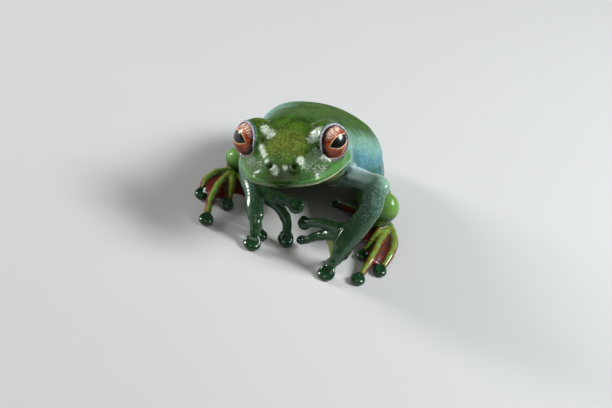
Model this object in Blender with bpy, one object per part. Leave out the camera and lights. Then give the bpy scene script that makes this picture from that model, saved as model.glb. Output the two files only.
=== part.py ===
"""Jade tree frog, life size, crouched on a floor with its head turned a little to its left.

The finished part is in metres, +Z up, the floor at Z = 0. The frog faces -Y, and its own left side is +X.
It is shaped in millimetres for a frog of 50 mm from snout to vent, and scaled and centred at the end.
"""

import math

import bmesh
import bpy
import numpy as np
from mathutils import Matrix, Vector

SNOUT_TO_VENT = 50.0      # the driving size, in millimetres
SEAM = 0.3                # gap that parts two touching nodes
BODY_SIDES = 28           # points round the body
LIMB_SIDES = 12
DIGIT_SIDES = 10

# The body's axis runs at the level of the lip. One row for each station, with its distance behind the snout
# tip, its yaw, pitch and roll in degrees, its half width, height above and depth below the axis, the
# narrowing of its upper half, and its squareness, where 2 is an ellipse
BODY = np.array([
    (0.0, 14, 6, 20, 4.4, 3.3, 0.7, 0.28, 2.3),
    (3.0, 14, 6, 20, 6.0, 4.7, 1.1, 0.31, 2.3),
    (6.0, 14, 6, 20, 7.3, 6.1, 1.7, 0.30, 2.3),
    (9.5, 14, 6, 20, 8.3, 7.2, 2.5, 0.24, 2.3),
    (13.0, 12, 7, 19, 8.8, 7.6, 3.7, 0.16, 2.3),
    (16.5, 9, 9, 17, 8.9, 7.1, 4.6, 0.10, 2.2),
    (20.0, 6, 11, 13, 8.9, 6.5, 5.3, 0.08, 2.15),
    (24.0, 3, 12.5, 8, 9.6, 6.0, 6.0, 0.07, 2.1),
    (29.0, -1, 13.5, 4, 10.4, 5.5, 6.2, 0.07, 2.1),
    (34.0, -3.5, 13.5, 2, 10.5, 4.7, 5.6, 0.05, 2.1),
    (39.0, -6.5, 14, 1, 8.2, 4.1, 4.6, 0.0, 2.1),
    (44.0, -9, 14.5, 1, 4.9, 2.7, 3.3, 0.0, 2.1),
    (48.0, -9, 15, 1, 2.9, 1.9, 2.2, 0.0, 2.1),
])
BODY_LENGTH = 48.0
SNOUT_ROUND = 3.0         # length over which the snout rounds off
VENT_ROUND = 3.5
NECK = 18.0               # station of the cut between head and torso
EYE_STATION = 9.8
EYE_MIDDLE = Vector((0.1, -15.0, 18.0))

# Head details, measured from the middle of the eyes in the head's own forward, left and up
EYE_SIDE = 6.4
EYE_RADIUS = 2.95
EYE_TURN = 47.0           # degrees from straight ahead to the eye's own axis
EYE_LIFT = 15.0
LIP_DROP = 4.7            # lip level under the eyes
LIP_SLOPE = 4.0           # degrees, falling to the rear
LID_RING_RADIUS = 3.02
LID_RING_THICKNESS = 0.45
LID_RING_OUT = 1.15
BROW_RADIUS = 3.65
BROW_INWARD = 1.0
NOSTRIL = (7.9, 2.5, -0.55)
NOSTRIL_RADIUS = 0.34
LOWER_JAW_INSET = 0.4

# Limbs are swept along rows of x, y, z, half width, half thickness
UPPER_ARMS = {
    "left": [
        (6.1, -3.8, 10.7, 1.9, 1.9), (10.1, -6.5, 12.6, 1.8, 1.8), (12.8, -8.0, 14.0, 1.75, 1.75),
        (15.5, -10.0, 15.5, 1.75, 1.75),
    ],
    "right": [
        (-4.4, 0.0, 8.6, 1.9, 1.9), (-6.9, -3.4, 8.4, 1.7, 1.7), (-8.2, -6.2, 7.5, 1.5, 1.5),
        (-7.6, -8.6, 6.8, 1.45, 1.45),
    ],
}
FOREARMS = {
    "left": [
        (15.5, -10.0, 15.5, 1.75, 1.75), (15.5, -11.0, 13.9, 1.95, 1.9), (16.1, -12.1, 12.4, 1.85, 1.75),
        (16.0, -13.1, 10.8, 1.8, 1.55), (15.5, -14.3, 8.7, 1.9, 1.35), (15.0, -15.4, 6.9, 1.75, 1.1),
        (14.7, -16.3, 5.3, 1.5, 0.95),
    ],
    "right": [
        (-7.6, -8.6, 6.8, 1.45, 1.45), (-6.3, -10.6, 6.3, 1.5, 1.5), (-4.7, -12.9, 6.1, 1.5, 1.45),
        (-2.9, -15.0, 5.7, 1.4, 1.3), (-1.4, -17.0, 5.0, 1.5, 1.15), (-0.1, -18.5, 4.2, 1.35, 1.0),
    ],
}
WRIST_ROW = 3.3           # row number of the cut between forearm and palm

# Each digit is a path of x, y, z that ends at the middle of its disc, then its disc's half width
FINGERS = {
    "left": {
        "1": ([(15.3, -13.9, 8.6), (13.2, -14.4, 7.5), (9.7, -14.2, 6.4), (6.9, -14.0, 4.7)], 1.2),
        "2": ([(15.3, -14.5, 7.8), (13.6, -14.7, 6.5), (10.2, -14.3, 4.1), (7.8, -14.0, 1.6)], 1.3),
        "3": ([(15.0, -15.9, 6.0), (14.7, -16.8, 4.1), (14.5, -17.5, 2.0), (14.4, -18.4, 0.7)], 1.5),
        "4": ([(15.4, -14.9, 6.2), (15.2, -14.2, 3.8), (14.6, -13.9, 1.8), (13.9, -14.2, 0.7)], 1.3),
    },
    "right": {
        "1": ([(-3.2, -14.2, 6.0), (-0.3, -14.0, 6.7), (2.3, -14.1, 6.9), (4.6, -14.1, 6.9)], 1.3),
        "2": ([(-2.6, -14.8, 5.5), (1.2, -14.5, 5.6), (4.0, -14.2, 3.4), (5.1, -15.2, 0.85)], 1.45),
        "3": ([(-0.4, -18.3, 4.4), (0.6, -19.3, 3.0), (1.2, -20.0, 1.6), (1.5, -20.9, 0.7)], 1.5),
        "4": ([(-0.6, -17.6, 4.0), (0.2, -17.4, 2.4), (0.7, -17.3, 1.2), (1.3, -17.2, 0.7)], 1.3),
    },
}
FACING_UP = Vector((0, 0, 1))
FACING_FRONT = Vector((0.3, -0.8, 0.5)).normalized()
RAISED_FINGERS = {("left", "1"), ("right", "1")}     # these two don't touch the floor

THIGHS = {
    "left": [
        (4.5, 14.5, 6.6, 2.6, 2.6), (7.5, 10.0, 6.4, 3.0, 3.0), (10.6, 3.5, 6.6, 2.8, 2.8),
        (13.3, -1.4, 7.3, 2.5, 2.6), (16.3, -4.4, 8.8, 2.6, 2.65),
    ],
    "right": [
        (-2.0, 14.5, 6.8, 2.6, 2.6), (-5.8, 10.0, 6.9, 2.9, 2.9), (-9.2, 3.4, 6.4, 2.6, 2.6),
        (-9.4, -2.3, 5.3, 2.2, 2.1), (-10.4, -5.4, 4.6, 2.2, 1.9),
    ],
}
SHANKS = {
    "left": [
        (15.4, -3.1, 6.1, 1.9, 1.9), (14.8, 1.2, 4.2, 2.1, 2.0), (13.0, 6.5, 3.5, 2.1, 1.9),
        (9.7, 12.5, 3.1, 1.6, 1.5),
    ],
    "right": [
        (-10.9, -4.2, 3.2, 1.6, 1.6), (-10.9, 0.4, 3.0, 1.8, 1.8), (-10.3, 6.0, 3.0, 1.9, 1.8),
        (-8.2, 12.0, 3.0, 1.6, 1.5),
    ],
}
FEET = {
    "left": [
        (7.6, 13.2, 1.75, 1.7, 1.6), (8.9, 9.0, 1.5, 1.4, 1.3), (11.6, 4.6, 1.8, 1.5, 1.2),
        (15.6, 0.8, 2.8, 2.1, 1.0), (16.8, -1.2, 3.1, 2.3, 0.9),
    ],
    "right": [
        (-5.8, 12.8, 1.65, 1.7, 1.6), (-6.8, 7.4, 1.4, 1.4, 1.25), (-8.4, 1.6, 1.4, 1.5, 1.1),
        (-10.1, -3.6, 1.6, 1.9, 0.85), (-10.3, -6.4, 2.0, 2.0, 0.8),
    ],
}
ANKLE_ROW = 2.0           # row number of the cut between tarsus and sole
TOES = {
    "left": {
        "1": ([(14.6, 1.6, 2.3), (12.3, 1.6, 2.3), (9.4, 2.3, 1.6), (6.7, 3.3, 0.6)], 0.95),
        "2": ([(16.0, -0.2, 2.8), (14.9, -2.4, 2.6), (14.0, -4.2, 1.7), (13.2, -5.7, 0.6)], 1.05),
        "3": ([(16.6, -0.6, 3.1), (16.7, -3.6, 3.0), (16.8, -6.0, 1.9), (16.7, -8.0, 0.6)], 1.15),
        "4": ([(17.4, -0.8, 3.2), (18.0, -5.6, 2.8), (18.7, -10.4, 1.7), (19.0, -15.3, 0.6)], 1.3),
        "5": ([(18.2, -0.4, 3.1), (19.9, -2.9, 2.6), (20.7, -6.6, 1.7), (20.8, -9.8, 0.6)], 1.2),
    },
    "right": {
        "1": ([(-9.5, -5.2, 1.7), (-7.7, -5.1, 1.6), (-6.0, -5.0, 1.1), (-4.4, -5.1, 0.6)], 0.95),
        "2": ([(-9.4, -6.4, 1.9), (-7.7, -7.6, 1.9), (-5.9, -8.5, 1.3), (-4.0, -9.2, 0.6)], 1.05),
        "3": ([(-9.9, -7.0, 2.1), (-8.7, -9.8, 2.4), (-7.6, -12.1, 1.5), (-6.9, -13.9, 0.6)], 1.15),
        "4": ([(-10.3, -7.2, 2.2), (-10.0, -11.4, 2.5), (-9.1, -16.4, 1.9), (-7.3, -20.9, 0.6)], 1.3),
        "5": ([(-11.2, -6.6, 2.1), (-12.1, -9.6, 2.4), (-12.4, -12.3, 1.8), (-11.6, -14.6, 0.6)], 1.15),
    },
}
FINGER_RADIUS = 0.78
TOE_RADIUS = 0.58
DISC_HALF_THICKNESS = 0.6
WEB_THICKNESS = 0.55
WEB_SEAM = 0.15           # the webs are narrow, so they stand nearer to the digits
# Between two neighbouring digits: where the web starts and ends along the first, then along the second
TOE_WEBS = {
    "12": (0.15, 0.70, 0.12, 0.55),
    "23": (0.15, 0.78, 0.12, 0.62),
    "34": (0.12, 0.84, 0.08, 0.52),
    "45": (0.08, 0.60, 0.10, 0.86),
}
FINGER_WEBS = {"left": {"34": (0.10, 0.62, 0.10, 0.62)}, "right": {}}
WEB_HOLLOW = 0.10         # how far the free edge hollows, as a part of the digit

# Colour and roughness by name
MATERIALS = {
    "skin_green": ((0.10, 0.23, 0.05, 1), 0.32),
    "skin_blue": ((0.16, 0.36, 0.31, 1), 0.30),
    "skin_pale": ((0.42, 0.48, 0.26, 1), 0.35),
    "pad_green": ((0.05, 0.20, 0.06, 1), 0.22),
    "toe_olive": ((0.34, 0.38, 0.09, 1), 0.28),
    "web_red": ((0.33, 0.03, 0.01, 1), 0.28),
    "web_yellow": ((0.45, 0.47, 0.15, 1), 0.30),
    "eye_orange": ((0.45, 0.10, 0.03, 1), 0.06),
}


def hermite(xs, ys, x):
    """A smooth curve through the rows ys at xs."""
    slopes = np.gradient(ys, xs, axis=0)
    i = int(np.clip(np.searchsorted(xs, x) - 1, 0, len(xs) - 2))
    h = xs[i + 1] - xs[i]
    t = (x - xs[i]) / h
    return ((2 * t**3 - 3 * t**2 + 1) * ys[i] + (t**3 - 2 * t**2 + t) * h * slopes[i]
            + (3 * t**2 - 2 * t**3) * ys[i + 1] + (t**3 - t**2) * h * slopes[i + 1])


def directions(yaw, pitch, roll):
    """Forward, left and up of a part that faces -Y when all three angles are zero."""
    yaw, pitch, roll = (math.radians(a) for a in (yaw, pitch, roll))
    forward = Vector((math.sin(yaw) * math.cos(pitch), -math.cos(yaw) * math.cos(pitch), math.sin(pitch)))
    level = Vector((math.cos(yaw), math.sin(yaw), 0))
    left = level * math.cos(roll) + forward.cross(level) * math.sin(roll)
    return forward, left, forward.cross(left)


def body_values(s):
    """Yaw to squareness at a station."""
    return hermite(BODY[:, 0], BODY[:, 1:], s)


HEAD_FORWARD, HEAD_LEFT, HEAD_UP = directions(*body_values(EYE_STATION)[:3])


def in_head(forward, left, up):
    """A point from its place in the head."""
    return EYE_MIDDLE + HEAD_FORWARD * forward + HEAD_LEFT * left + HEAD_UP * up


def walk_axis():
    """The body's axis, walked in short steps both ways from under the eyes."""
    step = 0.25
    stations = np.arange(-1.0, BODY_LENGTH + 1.0, step)
    forward = np.array([directions(*body_values(s)[:3])[0] for s in stations])
    walk = -np.cumsum(forward, axis=0) * step
    start = [np.interp(EYE_STATION, stations, walk[:, i]) for i in range(3)]
    return stations, walk - start + np.array(in_head(0, 0, -LIP_DROP))


AXIS_STATIONS, AXIS = walk_axis()


def on_body(s, side=0.0, up=0.0):
    """The point at a station, so far to the frog's left and above the axis."""
    centre = Vector([np.interp(s, AXIS_STATIONS, AXIS[:, i]) for i in range(3)])
    _, left, above = directions(*body_values(s)[:3])
    return centre + left * side + above * up


def signed_power(value, power):
    """A power that keeps the value's sign."""
    return math.copysign(abs(value) ** power, value)


def body_ring(s, grow):
    """A ring of points round the body at a station."""
    _, _, _, half, above, below, narrow, power = body_values(s)
    to_vent = BODY_LENGTH - s
    end = 1.0
    if s < SNOUT_ROUND:
        end = math.sqrt(max(0.0, 1 - (1 - s / SNOUT_ROUND) ** 2))
    if to_vent < VENT_ROUND:
        end = math.sqrt(max(0.0, 1 - (1 - to_vent / VENT_ROUND) ** 2))
    ring = []
    for k in range(BODY_SIDES):
        angle = 2 * math.pi * k / BODY_SIDES
        across = signed_power(math.cos(angle), 2 / power)
        high = signed_power(math.sin(angle), 2 / power)
        taper = 1 - narrow * max(0.0, high) ** 1.5
        height = (above if high > 0 else below) * high
        side = (half * across * taper + grow * math.cos(angle)) * end
        ring.append(on_body(s, side, (height + grow * math.sin(angle)) * end))
    return ring


def loft(name, rings):
    """A closed mesh through rings of equal count, each end fanned to its middle."""
    bm = bmesh.new()
    rows = [[bm.verts.new(p) for p in ring] for ring in rings]
    n = len(rows[0])
    for a, b in zip(rows, rows[1:]):
        for k in range(n):
            bm.faces.new((a[k], a[(k + 1) % n], b[(k + 1) % n], b[k]))
    for row in (rows[0], rows[-1]):
        middle = bm.verts.new(sum((v.co for v in row), Vector()) / n)
        for k in range(n):
            bm.faces.new((row[k], middle, row[(k + 1) % n]))
    return finish(name, bm)


def finish(name, bm):
    """Turns a bmesh into an object with its faces out."""
    bmesh.ops.recalc_face_normals(bm, faces=bm.faces)
    mesh = bpy.data.meshes.new(name)
    bm.to_mesh(mesh)
    bm.free()
    obj = bpy.data.objects.new(name, mesh)
    bpy.context.scene.collection.objects.link(obj)
    return obj


def body(name, grow=0.0):
    """The whole body, from snout to vent."""
    inner = np.arange(1.8, BODY_LENGTH - 1.8, 1.25)
    tail = [BODY_LENGTH - s for s in (1.0, 0.5, 0.15, 0.02)]
    return loft(name, [body_ring(s, grow) for s in (0.03, 0.25, 0.7, 1.2, *inner, *tail)])


def ball(name, centre, radius, along, columns=24, rows=14):
    """A sphere with its poles on an axis."""
    bm = bmesh.new()
    bmesh.ops.create_uvsphere(bm, u_segments=columns, v_segments=rows, radius=radius)
    turn = along.to_track_quat("Z", "Y").to_matrix().to_4x4()
    bmesh.ops.transform(bm, matrix=Matrix.Translation(centre) @ turn, verts=bm.verts)
    return finish(name, bm)


def ring_tube(name, centre, along, radius, thickness, columns=24, rows=8):
    """A round tube bent to a circle about an axis."""
    turn = along.to_track_quat("Z", "Y").to_matrix()
    bm = bmesh.new()
    grid = []
    for i in range(columns):
        a = 2 * math.pi * i / columns
        out = Vector((math.cos(a), math.sin(a), 0))
        row = []
        for j in range(rows):
            b = 2 * math.pi * j / rows
            place = out * (radius + thickness * math.cos(b)) + Vector((0, 0, thickness * math.sin(b)))
            row.append(bm.verts.new(centre + turn @ place))
        grid.append(row)
    for i in range(columns):
        for j in range(rows):
            a, b = grid[i], grid[(i + 1) % columns]
            bm.faces.new((a[j], a[(j + 1) % rows], b[(j + 1) % rows], b[j]))
    return finish(name, bm)


def row_frame(rows, t, normal):
    """Centre, tangent, side, up, half width and half thickness of a swept path at row number t."""
    numbers = np.arange(len(rows))
    values = hermite(numbers, rows, t)
    ahead, behind = hermite(numbers, rows, t + 0.02), hermite(numbers, rows, t - 0.02)
    tangent = Vector(ahead[:3] - behind[:3]).normalized()
    side = tangent.cross(normal).normalized()
    return Vector(values[:3]), tangent, side, side.cross(tangent), values[3], values[4]


def sweep(name, rows, first=0.0, last=None, normal=FACING_UP, grow=0.0, step=0.32,
          round_first=False, round_last=False, inset_first=0.0, inset_last=0.0, sides=LIMB_SIDES):
    """A limb along rows, from one row number to another, with flat or rounded ends.

    Grow makes it thicker and longer all round, as a cutter. An inset draws a flat end back.
    """
    rows = np.array(rows, float)
    last = len(rows) - 1 if last is None else last
    count = max(2, round((last - first) / step))
    stops = [(first + (last - first) * i / count, 1.0, 0.0) for i in range(count + 1)]
    cap = [(math.cos(math.radians(a)), math.sin(math.radians(a))) for a in (30, 58, 80)]
    if round_first:
        stops = [(first, scale, -reach) for scale, reach in reversed(cap)] + stops
    if round_last:
        stops += [(last, scale, reach) for scale, reach in cap]
    rings = []
    for i, (t, scale, reach) in enumerate(stops):
        centre, tangent, side, up, wide, thick = row_frame(rows, t, normal)
        wide, thick = wide + grow, thick + grow
        centre = centre + tangent * reach * min(wide, thick)
        if i == 0 and not round_first:
            centre = centre + tangent * (inset_first - grow)
        if i == len(stops) - 1 and not round_last:
            centre = centre - tangent * (inset_last - grow)
        ring = []
        for k in range(sides):
            angle = 2 * math.pi * k / sides
            point = centre + (side * wide * math.cos(angle) + up * thick * math.sin(angle)) * scale
            if not grow:
                point.z = max(point.z, 0.0)
            ring.append(point)
        rings.append(ring)
    return loft(name, rings)


def digit_rows(path, disc, radius):
    """Rows of x, y, z, half width and half thickness: a slim stem that widens to a flat disc."""
    path = np.array(path, float)
    lengths = np.concatenate([[0], np.cumsum(np.linalg.norm(np.diff(path, axis=0), axis=1))])
    heading = path[-1] - path[-2]
    heading[2] *= 0.2
    heading /= np.linalg.norm(heading)
    total = lengths[-1]
    rows = []
    disc_stops = total + disc * np.array([-0.95, -0.6, -0.25, 0.1, 0.45, 0.75, 0.92, 0.99])
    for s in [*np.linspace(0, total - 1.9, 6), *disc_stops]:
        if s <= total:
            centre = hermite(lengths, path, s)
        else:
            centre = path[-1] + heading * (s - total)
        stem = radius * (1.12 - 0.25 * min(1.0, s / total))
        swell = disc * math.sqrt(max(0.0, 1 - ((s - total) / disc) ** 2))
        wide = max(stem, swell) if s < total else swell
        flat = min(1.0, max(0.0, (s - total) / (1.6 * disc) + 1.0))
        thick = stem + (DISC_HALF_THICKNESS - stem) * flat
        if s > total:
            thick *= math.sqrt(max(0.0, 1 - ((s - total) / disc) ** 4))
        rows.append((*centre, wide, thick))
    return rows


def digit(name, path, disc, radius, normal, grow=0.0):
    """A finger or toe with its disc, or a larger copy of it as a cutter."""
    rows = np.array(digit_rows(path, disc, radius))
    rings = []
    for i, (x, y, z, wide, thick) in enumerate(rows):
        before, after = rows[max(i - 1, 0), :3], rows[min(i + 1, len(rows) - 1), :3]
        tangent = Vector(after - before).normalized()
        side = tangent.cross(normal).normalized()
        up = side.cross(tangent)
        centre = Vector((x, y, z))
        if i == 0:
            centre -= tangent * grow
        if i == len(rows) - 1:
            centre += tangent * grow
        ring = []
        for k in range(DIGIT_SIDES):
            angle = 2 * math.pi * k / DIGIT_SIDES
            point = centre + side * (wide + grow) * math.cos(angle)
            point += up * (thick + grow) * math.sin(angle)
            if not grow:
                point.z = max(point.z, 0.0)
            ring.append(point)
        rings.append(ring)
    return loft(name, rings)


def web(name, path_a, path_b, reaches):
    """A thin panel between two digits, with a hollowed free edge.

    Reaches are where it starts and ends along the first digit, then along the second, as parts of each.
    """
    paths = []
    for path in (path_a, path_b):
        path = np.array(path, float)
        lengths = np.concatenate([[0], np.cumsum(np.linalg.norm(np.diff(path, axis=0), axis=1))])
        paths.append((path, lengths / lengths[-1]))
    along, across = 6, 5
    bm = bmesh.new()
    layers = []
    grid = np.zeros((along + 1, across + 1, 3))
    for i in range(along + 1):
        for j in range(across + 1):
            v = j / across
            edge = WEB_HOLLOW * 4 * v * (1 - v)
            ends = []
            for (path, lengths), start, end in zip(paths, reaches[::2], reaches[1::2]):
                ends.append(hermite(lengths, path, start + (end - edge - start) * i / along))
            grid[i, j] = ends[0] + (ends[1] - ends[0]) * v
    normals = np.cross(np.gradient(grid, axis=0), np.gradient(grid, axis=1))
    normals /= np.linalg.norm(normals, axis=2)[..., None]
    if normals[..., 2].mean() < 0:
        normals = -normals
    for side in (-0.5, 0.5):
        points = grid + normals * WEB_THICKNESS * side
        points[..., 2] = np.maximum(points[..., 2], 0.05 + WEB_THICKNESS * (side + 0.5))
        layers.append([[bm.verts.new(point) for point in row] for row in points])
    for layer in layers:
        for i in range(along):
            for j in range(across):
                a, b, c, d = layer[i][j], layer[i][j + 1], layer[i + 1][j + 1], layer[i + 1][j]
                bm.faces.new((a, b, c))
                bm.faces.new((a, c, d))
    rim = [(i, 0) for i in range(along)] + [(along, j) for j in range(across)]
    rim += [(i, across) for i in range(along, 0, -1)] + [(0, j) for j in range(across, 0, -1)]
    for (i, j), (m, n) in zip(rim, rim[1:] + rim[:1]):
        bm.faces.new((layers[0][i][j], layers[0][m][n], layers[1][m][n], layers[1][i][j]))
    return finish(name, bm)


def keep_largest(mesh):
    """Drops the crumbs that a cut leaves."""
    bm = bmesh.new()
    bm.from_mesh(mesh)
    left = set(bm.verts)
    islands = []
    while left:
        island = [left.pop()]
        for vert in island:
            for edge in vert.link_edges:
                other = edge.other_vert(vert)
                if other in left:
                    left.discard(other)
                    island.append(other)
        islands.append(island)
    islands.sort(key=len)
    for island in islands[:-1]:
        bmesh.ops.delete(bm, geom=island, context="VERTS")
    bm.to_mesh(mesh)
    bm.free()


def volume_of(mesh):
    """The volume of a closed mesh, or nothing where it has an open edge."""
    bm = bmesh.new()
    bm.from_mesh(mesh)
    closed = all(edge.is_manifold for edge in bm.edges)
    volume = bm.calc_volume(signed=True) if closed else 0.0
    bm.free()
    return volume


def combine(obj, others, operation="DIFFERENCE"):
    """Cuts the others from an object, or joins them to it, one at a time.

    Where the exact solver doesn't leave a closed solid of a likely volume, the other one is used.
    """
    for other in others:
        before = volume_of(obj.data)
        for solver in ("EXACT", "MANIFOLD"):
            modifier = obj.modifiers.new("combine", "BOOLEAN")
            modifier.operation = operation
            modifier.solver = solver
            modifier.object = other
            bpy.context.view_layer.update()
            graph = bpy.context.evaluated_depsgraph_get()
            mesh = bpy.data.meshes.new_from_object(obj.evaluated_get(graph))
            obj.modifiers.clear()
            keep_largest(mesh)
            after = volume_of(mesh)
            if operation == "DIFFERENCE":
                likely = 0.03 * before < after < 1.001 * before
            else:
                likely = after > 0.999 * before
            if likely:
                obj.data = mesh
                break


def bisect(obj, point, normal):
    """Keeps the side of a plane that its normal points away from, and closes it."""
    bm = bmesh.new()
    bm.from_mesh(obj.data)
    geometry = [*bm.verts, *bm.edges, *bm.faces]
    cut = bmesh.ops.bisect_plane(
        bm, geom=geometry, dist=1e-5, plane_co=point, plane_no=normal, clear_outer=True)
    edges = [e for e in cut["geom_cut"] if isinstance(e, bmesh.types.BMEdge)]
    bmesh.ops.triangle_fill(bm, edges=edges, use_beauty=True, normal=normal)
    bmesh.ops.recalc_face_normals(bm, faces=bm.faces)
    bm.to_mesh(obj.data)
    bm.free()
    return obj


def remove(objects):
    """Takes helpers out of the scene."""
    for obj in objects:
        bpy.data.objects.remove(obj)


def paint(obj, name):
    """Gives an object one of the finishes, made the first time it is asked for."""
    color, roughness = MATERIALS[name]
    material = bpy.data.materials.get(name)
    if material is None:
        material = bpy.data.materials.new(name)
        material.use_nodes = True
        shader = material.node_tree.nodes["Principled BSDF"]
        shader.inputs["Base Color"].default_value = color
        shader.inputs["Roughness"].default_value = roughness
        shader.inputs["Metallic"].default_value = 0.0
        material.diffuse_color = color
    obj.data.materials.clear()
    obj.data.materials.append(material)


def eye_axis(side):
    """The way an eye faces. Side is 1 for the left eye and -1 for the right."""
    turn, lift = math.radians(EYE_TURN), math.radians(EYE_LIFT)
    outward = HEAD_FORWARD * math.cos(turn) + HEAD_LEFT * side * math.sin(turn)
    return (outward * math.cos(lift) + HEAD_UP * math.sin(lift)).normalized()


def make_body():
    """Torso, head and lower jaw, parted by the neck plane and the mouth."""
    neck = on_body(NECK)
    backward = -directions(*body_values(NECK)[:3])[0]
    slope = math.radians(LIP_SLOPE)
    lip_point = in_head(0, 0, -LIP_DROP)
    lip_up = HEAD_UP * math.cos(slope) - HEAD_FORWARD * math.sin(slope)

    torso = bisect(body("torso"), neck + backward * SEAM / 2, -backward)
    head = bisect(body("head"), neck - backward * SEAM / 2, backward)
    bisect(head, lip_point + lip_up * SEAM / 2, -lip_up)
    jaw = bisect(body("lower_jaw", -LOWER_JAW_INSET), neck - backward * SEAM / 2, backward)
    bisect(jaw, lip_point - lip_up * SEAM / 2, lip_up)

    helpers, sockets, eyes = [], [], []
    for name, side in (("left", 1), ("right", -1)):
        centre = in_head(0, EYE_SIDE * side, 0)
        axis = eye_axis(side)
        rim = centre + axis * LID_RING_OUT
        opening = in_head(NOSTRIL[0], NOSTRIL[1] * side, NOSTRIL[2])
        helpers.append(ball("brow_" + name, centre - axis * BROW_INWARD, BROW_RADIUS, axis))
        helpers.append(ring_tube("lid_" + name, rim, axis, LID_RING_RADIUS, LID_RING_THICKNESS))
        sockets.append(ball("socket_" + name, centre, EYE_RADIUS + SEAM, axis))
        sockets.append(ball("nostril_" + name, opening, NOSTRIL_RADIUS, HEAD_FORWARD, 10, 6))
        eyes.append(ball("eye_" + name, centre, EYE_RADIUS, axis))
    combine(head, helpers, "UNION")
    bisect(head, lip_point + lip_up * SEAM / 2, -lip_up)
    combine(head, sockets)
    remove(helpers + sockets)
    paint(torso, "skin_green")
    paint(head, "skin_green")
    paint(jaw, "skin_pale")
    for eye in eyes:
        paint(eye, "eye_orange")


def mitre(first, second, rows_first, rows_second):
    """Parts two segments that share a joint by the plane half way between their directions."""
    joint = Vector(rows_first[-1][:3])
    arriving = (joint - Vector(rows_first[-2][:3])).normalized()
    leaving = (Vector(rows_second[1][:3]) - joint).normalized()
    across = (arriving + leaving).normalized()
    bisect(first, joint - across * SEAM / 2, across)
    bisect(second, joint + across * SEAM / 2, -across)


def make_arm(side, body_cutter):
    """Upper arm, forearm, palm, fingers and web. Returns the cutters that keep the leg clear of the arm."""
    upper_rows, rows = UPPER_ARMS[side], FOREARMS[side]
    last = len(rows) - 1
    normal = FACING_FRONT
    upper = sweep("upper_arm_" + side, upper_rows, normal=normal, round_first=True, round_last=True)
    forearm = sweep("forearm_" + side, rows, 0, WRIST_ROW, normal, round_first=True, inset_last=SEAM / 2)
    mitre(upper, forearm, upper_rows, rows)
    palm = sweep("palm_" + side, rows, WRIST_ROW, last, normal, inset_first=SEAM / 2, round_last=True)
    combine(upper, [body_cutter])
    combine(forearm, [body_cutter])
    palm_cutter = sweep("palm_cutter", rows, WRIST_ROW - 0.05, last, normal, grow=SEAM, round_last=True)
    forearm_cutter = sweep("forearm_cutter", rows, 0, WRIST_ROW, normal, grow=SEAM)
    cutters = [palm_cutter, forearm_cutter]
    for number, (path, disc) in FINGERS[side].items():
        facing = normal if (side, number) in RAISED_FINGERS else FACING_UP
        finger = digit(f"finger_{side}_{number}", path, disc, FINGER_RADIUS, facing)
        combine(finger, cutters)
        paint(finger, "pad_green")
        cutters.append(digit("grown_" + number, path, disc, FINGER_RADIUS, facing, SEAM))
    for pair, reaches in FINGER_WEBS[side].items():
        paths = [FINGERS[side][number][0] for number in pair]
        panel = web(f"hand_web_{side}_{pair}", *paths, reaches)
        combine(panel, cutters)
        paint(panel, "web_yellow")
    remove(cutters)
    for obj in (upper, forearm, palm):
        paint(obj, "skin_blue")
    return [
        sweep("upper_arm_cutter", upper_rows, normal=normal, grow=SEAM, round_last=True),
        sweep("forearm_cutter", rows, 0, WRIST_ROW, normal=normal, grow=SEAM, round_first=True),
    ]


def make_leg(side, cutters):
    """Thigh, shank, tarsus, sole, toes and webs, each clear of the ones before it."""
    thigh_rows, shank_rows, foot_rows = THIGHS[side], SHANKS[side], FEET[side]
    thigh = sweep("thigh_" + side, thigh_rows, round_first=True, round_last=True)
    combine(thigh, cutters)
    thigh_cutter = sweep("thigh_cutter", thigh_rows, grow=SEAM, round_first=True, round_last=True)
    shank = sweep("shank_" + side, shank_rows, round_first=True, round_last=True)
    combine(shank, [*cutters, thigh_cutter])
    shank_cutter = sweep("shank_cutter", shank_rows, grow=SEAM, round_first=True, round_last=True)
    tarsus = sweep("tarsus_" + side, foot_rows, 0, ANKLE_ROW, round_first=True, inset_last=SEAM / 2)
    combine(tarsus, [thigh_cutter, shank_cutter])
    last = len(foot_rows) - 1
    sole = sweep("sole_" + side, foot_rows, ANKLE_ROW, last, inset_first=SEAM / 2, round_last=True)
    combine(sole, [thigh_cutter, shank_cutter])
    sole_cutter = sweep("sole_cutter", foot_rows, ANKLE_ROW - 0.5, last, grow=SEAM, round_last=True)
    cutters = [sole_cutter, thigh_cutter, shank_cutter]
    for number, (path, disc) in TOES[side].items():
        toe = digit(f"toe_{side}_{number}", path, disc, TOE_RADIUS, FACING_UP)
        combine(toe, cutters)
        paint(toe, "toe_olive")
        cutters.append(digit("grown_" + number, path, disc, TOE_RADIUS, FACING_UP, SEAM))
    for pair, reaches in TOE_WEBS.items():
        toes = [TOES[side][number] for number in pair]
        near = [digit("near", *toe, TOE_RADIUS, FACING_UP, WEB_SEAM) for toe in toes]
        panel = web(f"foot_web_{side}_{pair}", toes[0][0], toes[1][0], reaches)
        combine(panel, [sole_cutter, shank_cutter, *near])
        remove(near)
        paint(panel, "web_red")
    remove(cutters)
    for obj in (thigh, shank, tarsus, sole):
        paint(obj, "skin_green")


def place_all():
    """Scales to metres and sets the middle of the floor area at the origin."""
    nodes = [obj for obj in bpy.context.scene.collection.objects if obj.type == "MESH"]
    points = np.array([v.co for obj in nodes for v in obj.data.vertices])
    low, high = points.min(axis=0), points.max(axis=0)
    middle = Vector(((low[0] + high[0]) / 2, (low[1] + high[1]) / 2, low[2]))
    size = SNOUT_TO_VENT / 50 * 0.001
    for obj in nodes:
        obj.data.transform(Matrix.Scale(size, 4) @ Matrix.Translation(-middle))
        obj.data.shade_smooth()
        obj.data.set_sharp_from_angle(angle=math.radians(40))


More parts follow.
